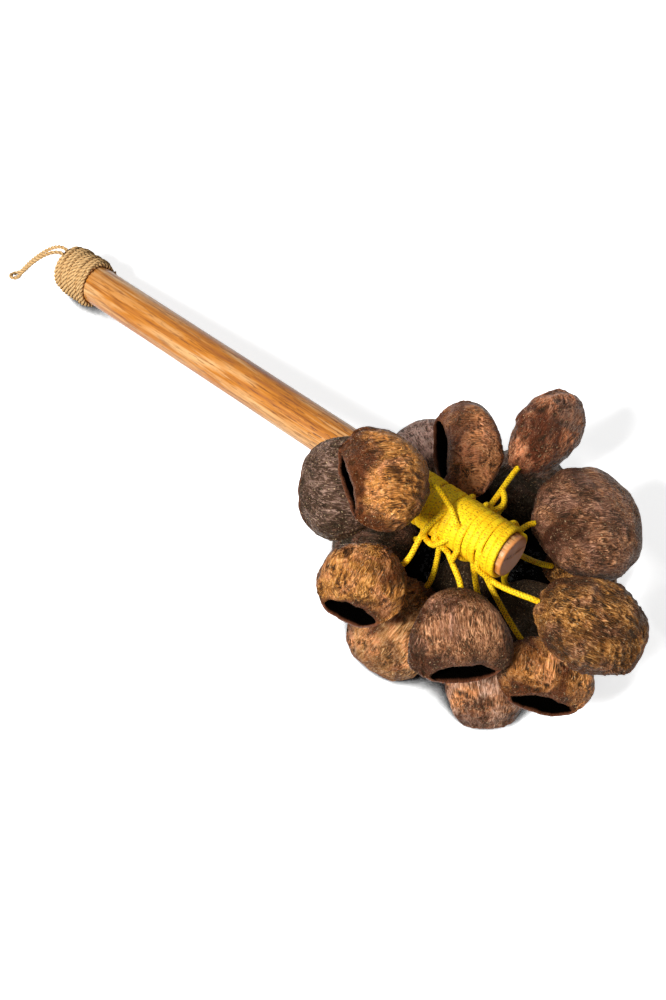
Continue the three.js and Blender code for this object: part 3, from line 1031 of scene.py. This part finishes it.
@dataclass
class TwineWrap:
    """Natural twine wound round the far end of the stick, with a few turns crossing on top."""

    handle: Handle
    turns: float = 11.0
    pitch: float = 2.15
    inset: float = 1.2
    thickness: float = 2.4
    stray: float = 0.8
    lift: float = 0.2
    cross_turns: float = 1.6
    cross_sunk: float = 0.1
    cross_steps: int = 200
    cross_phase: float = 1.1

    def build(self) -> bpy.types.Object:
        """Makes the wrap over its CAD node.

        Returns:
            The piece.
        """
        twine = TwistedTwine(diameter=self.thickness)
        start = self.inset + TWINE_DIAMETER / 2
        skin = Skin()
        turns = np.linspace(0, self.turns, int(self.turns * STEPS_PER_TURN))
        seen = np.stack([turns * 2.1, turns * 0, turns * 0], axis=1)
        along = start + self.pitch * turns + self.stray * noise_at(seen, 5)
        seat = STICK_RADIUS + SEAT_GAP + TWINE_DIAMETER / 2
        radius = seat + self.lift * noise_at(seen + 9.7, 6)
        twine.add_to(skin, self.handle.at(along, radius, 2 * math.pi * turns))
        length = self.pitch * self.turns
        high = STICK_RADIUS + SEAT_GAP + TWINE_DIAMETER - self.cross_sunk
        over = np.linspace(0, self.cross_turns, self.cross_steps)
        for lean, begin in ((1, 0.15), (-1, 0.45), (1, 0.68)):
            share = over / self.cross_turns
            cross = start + length * (0.06 + 0.88 * (share if lean > 0 else 1 - share))
            turn = 2 * math.pi * (begin + lean * over)
            twine.add_to(skin, self.handle.at(cross, high, turn), phase=self.cross_phase)
        made = skin.to_object("wrap_twisted_twine", NaturalTwine().material())
        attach(made, "handle")
        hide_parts("twine_wrap")
        return made


@dataclass
class HangingLoop:
    """The free loop of twine that leaves the wrap and droops to the table."""

    handle: Handle
    reach: float = 32.0
    width: float = 9.4
    stem_space: float = 0.8
    lead: float = 4.0
    rise: float = 4.0
    turn_deg: float = 40.0
    tip_deg: float = 35.0
    floor_gap: float = 0.6
    steps: int = 14

    def path(self) -> np.ndarray:
        """Repeats the loop's route from the part's source.

        Returns:
            The route's points, from one end in the wrap to the other.
        """
        turn, tip_lean = math.radians(self.turn_deg), math.radians(self.tip_deg)
        twine = TWINE_DIAMETER / 2
        flat_side = np.array([math.sin(turn), -math.cos(turn), 0.0])
        across = flat_side * math.cos(tip_lean) + np.array([0, 0, math.sin(tip_lean)])
        out = np.array([-math.cos(turn), -math.sin(turn), 0.0])
        over = STICK_RADIUS + SEAT_GAP + TWINE_DIAMETER + twine + SEAT_GAP
        start = self.handle.far + self.lead * self.handle.axis + over * self.handle.up
        half = self.width / 2
        stem = twine + self.stem_space / 2
        tip = start + self.reach * out
        tip[2] = self.floor_gap + twine + half * math.sin(tip_lean)
        up = np.array([0.0, 0.0, 1.0])
        pulls = [
            start,
            start - 2 * self.lead * self.handle.axis + self.rise * up,
            start + (tip - start) * 2 / 3 + 2 * self.rise * up,
            tip,
        ]
        droop = bezier(pulls, self.steps)
        share = np.linspace(0, 1, self.steps)
        spread = stem + (half - stem) * np.sin(math.pi / 2 * share)
        ways = unit((1 - share)[:, None] * np.array([0.0, -1.0, 0.0]) + share[:, None] * across)
        there = droop + spread[:, None] * ways
        back = droop - spread[:, None] * ways
        bend = np.linspace(0, math.pi, 9)[1:-1]
        tip_curve = tip + half * (np.cos(bend)[:, None] * across + np.sin(bend)[:, None] * out)
        return np.vstack([there, tip_curve, back[::-1]])

    def build(self) -> bpy.types.Object:
        """Returns:
            The piece.
        """
        route = self.path()
        twine = TwistedTwine(diameter=TWINE_DIAMETER)
        fine = evenly(smoothed(evenly(route, 1.0), 4), twine.step)
        skin = Skin()
        twine.add_to(skin, fine)
        made = skin.to_object("hanging_loop_twine", bpy.data.materials["natural_twine"])
        length = float(run_along(fine)[-1])
        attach(made, "handle")
        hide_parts("hanging_loop")
        return made


def swell(share: np.ndarray, peak: float, power: float) -> np.ndarray:
    """Half size from a nut's blunt back up to its fullest place, as a share."""
    rise = 1 - np.abs(1 - np.minimum(share / peak, 1)) ** power
    return rise ** (1 / power)


def fall(share: np.ndarray, peak: float, end: float) -> np.ndarray:
    """Half size from a nut's fullest place down to its mouth, as a share."""
    past = np.clip((share - peak) / (1 - peak), 0, 1)
    return np.sqrt(1 - (1 - end * end) * past**2)


def eased(share: np.ndarray) -> np.ndarray:
    """Smooth step from zero to one."""
    held = np.clip(share, 0, 1)
    return held * held * (3 - 2 * held)


@dataclass
class HungNut:
    """One hollow nut shell and the cord it hangs on.

    The first fields are those of the part's source: bearing and reach of the tie hole from the middle
    of the head, its rise (None where the nut lies on the table), how the nut hangs from it, how far
    its mouth is turned, its size, and where its cord leaves the winding.
    """

    label: str
    bearing: float
    reach: float
    rise: float | None
    along: float
    heading: float
    pitch: float
    roll: float
    mouth: float
    size: tuple[float, float, float]
    tone: HuskTone
    patch: HuskTone
    grain: Grain
    slant: float = 1.0
    full: float = 1.0
    fullest: float = 0.58
    mouth_width: float = 0.66
    mouth_slant: float = 7.0
    back_power: float = 1.85
    deepest: float = 0.5
    mouth_depth: float = 0.42
    lead_deg: float = 50.0
    lead_drift: float | None = None
    dive_at: float = 0.55
    has_eye: bool = False
    lens: float = 0.75
    lens_from: float = 0.62
    lip: float = 0.1
    lump: float = 1.3
    drawn_in: float = 0.0
    pucker: float = 0.9
    rib_count: int = 6
    rib: float = 0.45
    rim_wander: float = 0.9
    lump_mm: float = 17.0
    dent: float = 0.22
    dent_mm: float = 6.5
    dimple: float = 0.9
    dimple_mm: float = 2.6
    knob_at: float = 5.0
    knob_mm: float = 2.4
    calm_share: float = 0.05
    calm_least: float = 0.12
    crease_tone: float = 0.75
    crease_level: float = 0.26
    crease_band: float = 0.2
    dimple_tone: float = 0.85
    hollow_share: float = 0.04
    lip_from: float = 0.975
    lip_band: float = 0.02
    upper_lip: float = 0.35
    flank_share: float = 0.42
    set_out: float = 0.3
    lay_share: float = 0.42
    dive: float = 3.4
    knot_gap: float = 0.35
    knot_tip: float = 0.3
    eye_mm: float = 15.0
    eye_bow: float = 5.2
    cols: int = 200
    rows: int = 84
    inner_rows: int = 22

    def body(self) -> str:
        """Name of the CAD body that the nut and its cord belong to."""
        return f"nut_{self.label}_hung"

    def spin(self) -> np.ndarray:
        """Gives the turn of the nut from its own axes into the part's.

        Returns:
            A 3 by 3 matrix.
        """
        turned = Matrix.Rotation(math.radians(self.heading), 3, "Z")
        turned = turned @ Matrix.Rotation(-math.radians(self.pitch), 3, "Y")
        return np.array(turned @ Matrix.Rotation(math.radians(self.roll), 3, "X"))

    def sizes(self) -> tuple[float, float, float]:
        """Length, width and depth of the nut."""
        length, width, depth = self.size
        return length * NUT_LENGTH, width * NUT_WIDTH, depth * NUT_DEPTH

    def width_share(self, share: np.ndarray) -> np.ndarray:
        """Half width of the nut at a share of its length."""
        peak = self.fullest * self.full
        return swell(share, peak, self.back_power) * fall(share, peak, self.mouth_width)

    def depth_share(self, share: np.ndarray) -> np.ndarray:
        """Half depth of the nut at a share of its length."""
        return swell(share, self.deepest, 2.0) * fall(share, self.deepest, self.mouth_depth)

    def edge_reach(self) -> float:
        """Finds how far the tie hole lies from the nut's middle.

        Returns:
            The distance along the line opposite the turned mouth.
        """
        length, width, _ = self.sizes()
        share = np.linspace(0, 1, 401)
        x = share * length - length / 2
        y = self.width_share(share) * width / 2
        off = np.abs(np.arctan2(y, -x) - abs(math.radians(self.mouth)))
        best = int(np.argmin(off))
        return float(np.hypot(x[best], y[best]))

    def cup(self, share: np.ndarray, wall: float, seed: int) -> np.ndarray:
        """Points of the cup's outside or inside, opening along +X.

        Args:
            share: Shares of the length, one for each ring.
            wall: Distance inside the outer surface.
            seed: Picks the wander of the rim.

        Returns:
            Rings of points.
        """
        length, width, depth = self.sizes()
        turn = round_turns(self.cols)
        round_rim = np.stack([np.cos(turn) * 1.6, np.sin(turn) * 1.6, turn * 0], axis=1)
        wander = layered(round_rim, seed, 3)
        set_back = self.mouth_slant * self.slant / 2 * (1 + np.sin(turn))
        reach = length - set_back + self.rim_wander * wander
        s = share[:, None]
        # The mouth is a lens: both lips meet in a point at its corners, and the wall thins to a lip.
        lens = eased((s - self.lens_from) / (1 - self.lens_from))
        wall_here = wall * (1 - self.lip * lens)
        x = wall + s * (reach[None, :] - wall)
        y = (self.width_share(s) * width / 2 - wall_here) * np.cos(turn)
        sine = np.sin(turn)[None, :]
        rise = np.sign(sine) * np.abs(sine) ** (1 + self.lens * lens)
        z = (self.depth_share(s) * depth / 2 - wall_here) * rise
        return np.stack(np.broadcast_arrays(x, y, z), axis=2)

    def shell(self) -> tuple[np.ndarray, list[tuple[int, ...]], dict[str, np.ndarray]]:
        """Makes the folded shell in the axes it hangs in, with its tie hole at the origin.

        Returns:
            Points, faces and marks.
        """
        seed = 100 + 7 * int(self.label)
        ease = np.linspace(0, 1, self.rows)
        outer_share = 0.006 + 0.994 * (0.35 * ease + 0.65 * np.sin(ease * math.pi / 2) ** 1.4)
        outer = self.cup(outer_share, 0.0, seed)
        inner_share = np.linspace(1, 0.04, self.inner_rows)
        inner = self.cup(inner_share, SHELL_WALL, seed)
        rings = np.concatenate([outer, inner])
        down = np.gradient(rings, axis=0)
        around = np.roll(rings, -1, axis=1) - np.roll(rings, 1, axis=1)
        normal = unit(np.cross(around, down))
        flat = rings.reshape(-1, 3)
        relief = self.grain.relief(flat, seed)
        lump = layered(flat / self.lump_mm, seed + 31, 2)
        dent = noise_at(flat / self.dent_mm, seed + 41)
        is_outer = np.repeat(np.arange(len(rings)) < self.rows, self.cols)
        edge = np.repeat(np.concatenate([outer_share, inner_share]), self.cols)
        calm = np.clip((1 - edge) / self.calm_share, self.calm_least, 1)
        around_turn = np.tile(round_turns(self.cols), len(rings))
        ribs = np.cos(self.rib_count * around_turn + seed + 2.0 * lump) * np.sin(math.pi * edge)
        form = self.lump * (lump - 0.25) + self.rib * ribs
        push = form + self.grain.value[3] * (relief - 0.6) + self.dent * dent
        # The inside follows the outside's lumps, so the wall keeps its thickness.
        push = np.where(is_outer, push * calm - self.drawn_in, (0.45 - form) * calm + self.drawn_in)
        length, _, depth = self.sizes()
        turned = np.array(Matrix.Rotation(math.radians(self.mouth), 3, "Z"))
        hung = (flat - np.array([length / 2, 0, 0])) @ turned.T
        hung[:, 0] += self.edge_reach()
        tie_distance = np.linalg.norm(hung, axis=1)
        dimple = np.where(is_outer, np.exp(-((tie_distance / self.dimple_mm) ** 2)), 0)
        from_knob = (tie_distance - self.knob_at) / self.knob_mm
        knob = np.where(is_outer, np.exp(-(from_knob**2)), 0)
        push = push - self.dimple * dimple + self.pucker * knob * (0.4 + 0.6 * relief)
        moved = hung + push[:, None] * (normal.reshape(-1, 3) @ turned.T)
        points, faces = lofted(moved.reshape(rings.shape))
        # The crease mark paints shade into the deepest folds and into the dimple round the tie hole.
        deep = eased((self.crease_level - relief) / self.crease_band)
        crease = np.where(is_outer, self.crease_tone * deep, 0)
        crease = np.maximum(crease, self.dimple_tone * dimple)
        hollow = np.where(is_outer, 0.0, np.clip((1 - edge) / self.hollow_share, 0, 1))
        # Light catches the sawn lip below the mouth, and the husk turns in over the one above.
        lit = np.where(np.sin(around_turn) < 0, 1.0, self.upper_lip)
        lip = np.clip((edge - self.lip_from) / self.lip_band, 0, 1)
        rim = np.where(is_outer, lip, 1.0) * lit
        ends = [flat[: self.cols].mean(axis=0), flat[-self.cols :].mean(axis=0)]
        # The flank mark rises towards the nut's outline seen from above, where the material paints shade.
        flank = eased(1 - np.abs(flat[:, 2]) / (self.flank_share * depth))
        # Each mark is followed by its values at the two middles that close the shell.
        closed = {
            "flank": (flank, [1, 1]),
            "relief": (relief, [0.5, 0]),
            "crease": (crease, [0, 0]),
            "hollow": (hollow, [0, 1]),
            "rim": (rim, [0, 0]),
        }
        marks = {name: np.concatenate(values) for name, values in closed.items()}
        marks["husk_mm"] = np.vstack([flat, *ends]) + seed * 3.1
        return points, faces, marks

    def tie(self, handle: Handle, lowest: float) -> np.ndarray:
        """Finds the tie hole in the part's frame.

        Args:
            handle: Where the stick lies.
            lowest: How far the nut reaches below its tie hole.

        Returns:
            The point.
        """
        head = handle.far + HEAD_MIDDLE * handle.axis
        bearing = math.radians(self.bearing)
        out = self.reach * NUT_WIDTH
        height = lowest if self.rise is None else head[2] + self.rise * NUT_DEPTH
        return np.array(
            [head[0] + out * math.cos(bearing), head[1] + out * math.sin(bearing), height]
        )

    def cord_path(self, handle: Handle, tie: np.ndarray) -> tuple[np.ndarray, np.ndarray, np.ndarray]:
        """Routes the cord from under the winding's turns to the tie hole.

        Args:
            handle: Where the stick lies.
            tie: The tie hole.

        Returns:
            The path, its place on the winding's surface, and the direction into the nut.
        """
        start = STICK_LENGTH - WINDING_INSET - self.along * WINDING_LENGTH
        place = handle.far + start * handle.axis
        radial = tie - place
        radial = unit(radial - handle.axis * np.dot(radial, handle.axis))
        root = place + radial * (WINDING_OUTER + CORD_DIAMETER / 2 + TETHER_GAP)
        into = self.spin() @ np.array([1.0, 0.0, 0.0])
        lead = np.linalg.norm(root - tie) / 4
        leave = unit(unit(tie - root) + self.set_out * radial)
        curve = bezier((root, root + lead * leave, tie - lead * into, tie), 40)
        # The cord comes out between two turns and lies over the winding, straight on its way.
        over = handle.up - radial * np.dot(handle.up, radial)
        over = unit(over) if np.linalg.norm(over) > 0.2 else unit(np.cross(handle.axis, radial))
        way = unit(root - tie)
        run_on = np.dot(way, handle.axis)
        slope = np.clip(run_on / max(0.5, math.sqrt(max(0.0, 1 - run_on**2))), -0.9, 0.9)
        lead_arc = math.radians(self.lead_deg)
        back = np.linspace(lead_arc, 0, 22)[:-1, None]
        under = eased((back / lead_arc - self.dive_at) / (1 - self.dive_at))
        lay = WINDING_OUTER + self.lay_share * CORD_DIAMETER - self.dive * under
        lay = lay + (TETHER_GAP + 0.08 * CORD_DIAMETER) * eased(1 - 3 * back / lead_arc)
        if self.lead_drift is None:
            drift = slope * lay * back * handle.axis
        else:
            drift = self.lead_drift * back / lead_arc * handle.axis
        arc = place + lay * (np.cos(back) * radial + np.sin(back) * over) + drift
        inside = tie + into * np.array([[SHELL_WALL], [2 * SHELL_WALL], [2 * SHELL_WALL + 2.0]])
        path = np.vstack([arc, curve, inside])
        return smoothed(evenly(path, 0.8), 5), root, into

    def eye(self, path: np.ndarray, root: np.ndarray, handle: Handle) -> np.ndarray:
        """Routes the second strand of the small eye that the cord makes where it leaves the winding.

        Args:
            path: The cord's own path.
            root: The place where it leaves the winding.
            handle: Where the stick lies.

        Returns:
            The strand's path, from the winding back to the cord.
        """
        first = int(np.argmin(np.linalg.norm(path - root, axis=1)))
        run = run_along(path)[1:]
        last = int(np.searchsorted(run, run[first] + self.eye_mm))
        strand = path[first - 6 : last]
        share = np.linspace(0, 1, len(strand))[:, None]
        bow = np.sin(math.pi * share) ** 0.8
        return smoothed(strand + self.eye_bow * bow * handle.axis + 0.6 * handle.up * bow, 3)

    def build(self, handle: Handle) -> tuple[bpy.types.Object, bpy.types.Object]:
        """Makes the shell and its cord over their CAD nodes.

        Args:
            handle: Where the stick lies.

        Returns:
            The shell and the cord.
        """
        points, faces, marks = self.shell()
        hung = points @ self.spin().T
        tie = self.tie(handle, -float(hung[:, 2].min()))
        skin = Skin()
        skin.add(hung + tie, faces, **marks)
        husk = skin.to_object(f"husk_{self.label}", NutHusk(self.tone, self.patch).material())
        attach(husk, self.body())
        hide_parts(f"nut_{self.label}")
        path, root, into = self.cord_path(handle, tie)
        tube = BraidedTube()
        cord_skin = Skin()
        fine = evenly(path, tube.step)
        tube.add_to(cord_skin, fine)
        if self.has_eye:
            tube.add_to(cord_skin, self.eye(fine, root, handle))
        knot = KNOT_DIAMETER / 2
        bulge = np.linspace(0, math.pi, 14)
        reach = 2 * SHELL_WALL + self.knot_gap + knot * (1 - np.cos(bulge))
        radii = self.knot_tip + (knot - self.knot_tip) * np.sin(bulge)
        tube.add_to(cord_skin, tie + into * reach[:, None], radii=radii)
        cord = cord_skin.to_object(f"cord_{self.label}", bpy.data.materials["braided_yellow_cord"])
        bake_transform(cord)
        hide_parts(f"tether_{self.label}")
        return husk, cord


@dataclass
class Studio:
    """Camera at the photograph's place, pale floor and soft light."""

    place_mm: tuple[float, float, float] = (209.4, -248.3, 676.4)
    azimuth_deg: float = 40.63
    elevation_deg: float = 66.14
    lens_mm: float = 48.6
    floor_reach: float = 4.0
    world_strength: float = 0.11
    aim_m: tuple[float, float, float] = (0.05, 0.0, 0.04)

    def camera(self) -> None:
        """Sets the camera where the photograph was taken from."""
        turn, lean = math.radians(self.azimuth_deg), math.radians(self.elevation_deg)
        right = Vector((math.cos(turn), math.sin(turn), 0))
        away = Vector((-math.sin(turn), math.cos(turn), 0))
        back = Vector((0, 0, 1)) * math.sin(lean) - away * math.cos(lean)
        up = back.cross(right)
        data = bpy.data.cameras.new("camera")
        data.lens = self.lens_mm
        data.sensor_width = 36.0
        data.clip_start = 0.01
        made = placed("camera", data)
        spin = Matrix((right, up, back)).transposed().to_4x4()
        made.matrix_world = Matrix.Translation(Vector(self.place_mm) * MM) @ spin
        bpy.context.scene.camera = made

    def floor(self) -> None:
        """Lays the pale floor that takes the shadow."""
        mesh = bpy.data.meshes.new("floor")
        reach = self.floor_reach
        corners = [(-reach, -reach, 0), (reach, -reach, 0), (reach, reach, 0), (-reach, reach, 0)]
        mesh.from_pydata(corners, [], [(0, 1, 2, 3)])
        made = placed("floor", mesh)
        paper, add = new_material("white_paper_floor")
        seen = self.seen_rays(add)
        # The glow that whitens open floor fades in the deep shade between the nuts, where ambient
        # occlusion paints the floor near black as painted shade. What the floor throws back at the object
        # is that of a dark table.
        shade = add("AmbientOcclusion", {"Distance": 0.12}, "AO", samples=16)
        open_floor = add("MapRange", {"Value": shade, "From Min": 0.4, "From Max": 0.53})
        lit = add("Math", {0: seen, 1: open_floor}, operation="MULTIPLY")
        # Far from the lamps the glow makes up for their light.
        reached = add("VectorMath", {0: add("NewGeometry")}, "Value", operation="LENGTH")
        far = {"Value": reached, "From Min": 0.3, "From Max": 1.5, "To Min": 0.72, "To Max": 1.0}
        glow = add("Math", {0: lit, 1: add("MapRange", far)}, operation="MULTIPLY")
        shades = {"Factor": lit, 6: linear("#0E0C0B"), 7: linear("#F7F7F7")}
        inputs = {
            "Base Color": add("Mix", shades, 2, data_type="RGBA"),
            "Roughness": 0.9,
            "Specular IOR Level": 0.0,
            "Emission Color": linear(WHITE),
            "Emission Strength": glow,
        }
        mesh.materials.append(set_shader(paper, inputs))
        made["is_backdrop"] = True

    def seen_rays(self, add: AddNode) -> bpy.types.NodeSocket:
        """Gives one where a ray comes from the camera, a mirror or glass.

        Args:
            add: Adds a node to the tree that asks.

        Returns:
            The socket.
        """
        seen = add("LightPath", out="Is Camera Ray")
        rays = seen.node.outputs
        for other in ("Is Glossy Ray", "Is Transmission Ray"):
            seen = add("Math", {0: seen, 1: rays[other]}, operation="MAXIMUM")
        return seen

    def light(self) -> None:
        """Hangs two soft lamps and sets a dim even sky."""
        for name, place, size, power in (
            ("key_softbox", (-0.2, -0.84, 1.0), 0.34, 26.0),
            ("fill_softbox", (-0.5, 0.5, 1.1), 0.8, 1.8),
        ):
            data = bpy.data.lights.new(name, "AREA")
            data.size = size
            data.energy = power
            made = placed(name, data)
            made.location = place
            aim = Vector(self.aim_m) - Vector(place)
            made.rotation_euler = aim.to_track_quat("-Z", "Y").to_euler()
        world = bpy.data.worlds.new("studio")
        world.use_nodes = True
        tree = world.node_tree
        add = partial(add_node, tree)
        sky = {"Value": self.seen_rays(add), "To Min": self.world_strength, "To Max": 1.0}
        inputs = {"Color": linear(WHITE), "Strength": add("MapRange", sky)}
        feed(tree, tree.nodes["Background"], inputs)
        bpy.context.scene.world = world

    def build(self) -> None:
        """Sets up the whole studio."""
        self.camera()
        self.floor()
        self.light()
        bpy.context.scene.view_settings.view_transform = "Standard"


def nuts() -> list[HungNut]:
    """Lists the nuts, upper layer first.

    Returns:
        The nuts, in the order of their CAD nodes.
    """
    tone, grain = HuskTone, Grain
    golden, straw, amber, brown = tone.GOLDEN, tone.STRAW, tone.AMBER, tone.BROWN
    umber, rust, smoke, dark = tone.UMBER, tone.RUST, tone.SMOKE, tone.DARK
    tobacco, cocoa = tone.TOBACCO, tone.COCOA
    ridged, swirled, crackled = grain.RIDGED, grain.SWIRLED, grain.CRACKLED
    felted, pebbled = grain.FELTED, grain.PEBBLED
    # Nuts that lie in shadow under the others take the near-black tone, a painted shade.
    rows: list[tuple] = [
        (-166, 0.37, 0.92, 0.55, -143, 12, 0, 18, (0.98, 1.08, 0.94), golden, brown, ridged, 0.3),
        (-157, 0.77, 0.22, 0.93, -151, -6, 156, 0, (1.0, 1.06, 0.9), smoke, smoke, pebbled),
        (-108, 0.67, -0.42, 0.72, -117, -6, 0, 44, (0.98, 0.92, 0.94), straw, brown, ridged, 1, 1.08),
        (-50, 0.62, -0.28, 0.45, -53, -8, 0, 8, (1.06, 1.04, 0.98), cocoa, umber, pebbled, 1, 1.3),
        (-19, 1.2, -0.86, 0.2, -15, -8, 0, -46, (0.88, 1, 0.9), amber, brown, ridged),
        (-10, 1.08, 0.12, 0.02, 20, -12, 180, 0, (1.28, 0.96, 0.98), tobacco, cocoa, crackled),
        (42, 0.72, -0.1, 0.1, 47, -14, 180, 0, (1.28, 1.24, 1.02), umber, cocoa, felted, 1, 1.08),
        (88, 0.9, -0.3, 0.42, 93, -6, 205, 0, (1.22, 0.7, 0.92), rust, umber, ridged, 1, 1.1),
        (107, 0.39, -0.3, 0.6, 133, -4, 0, 90, (0.84, 1.14, 0.98), brown, rust, swirled),
        (134, 0.88, None, 0.85, 146, -24, 180, 0, (1.06, 1, 0.95), tone.MAUVE, smoke, felted),
        (86, 0.8, None, 0.3, 87, -24, 180, 0, (1.08, 1, 0.95), dark, umber, pebbled),
        (34, 1.0, None, 0.1, 48, -34, 180, 0, (1.0, 0.72, 0.9), tobacco, tobacco, crackled),
        (5, 0.66, None, 0.03, 0, -34, 180, 0, (1.1, 0.8, 0.95), dark, dark, pebbled),
        (-32, 0.93, None, 0.3, -45, -28, 180, 0, (1.06, 0.86, 0.92), tone.ASHEN, brown, swirled),
        (-87, 0.46, None, 0.62, -91, -30, 180, 0, (1.22, 1.04, 0.95), tone.OLIVE, brown, ridged),
        (-163, 0.42, None, 0.88, -150, -30, 180, 0, (1.1, 0.92, 0.95), dark, umber, pebbled),
        (8, 0.16, None, 0.5, -35, -70, 0, 0, (0.94, 0.86, 0.86), dark, dark, pebbled),
    ]
    # What sets single nuts apart: how their cord lies on the winding, and a drawn-out tie end.
    own = {
        "01": {"lead_deg": 25.0, "lead_drift": 9.0, "dive_at": 0.8, "drawn_in": 0.4},
        "02": {"drawn_in": 0.6},
        "03": {"lead_deg": 90.0, "lead_drift": 9.0, "dive_at": 0.8},
        "05": {"lead_drift": 2.0},
        "08": {"has_eye": True},
        "09": {"drawn_in": 0.3},
        "12": {"pucker": 2.0},
        "14": {"lead_drift": -5.0},
    }
    made = [HungNut(f"{i + 1:02d}", *row) for i, row in enumerate(rows)]
    return [replace(nut, **own.get(nut.label, {})) for nut in made]


def main() -> None:
    """Builds the studio and every sub-assembly."""
    logging.basicConfig(level=logging.INFO, format="%(name)s: %(message)s")
    Studio().build()
    handle = Handle()
    TwineWrap(handle).build()
    HangingLoop(handle).build()
    CordWinding(handle).build()
    Stick(handle).build()
    for nut in nuts():
        nut.build(handle)
    boxes = {"cad": CAD_BOX, "visual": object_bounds()}
    {name: [list(low), list(high)] for name, (low, high) in boxes.items()}


if __name__ == "__main__":
    main()
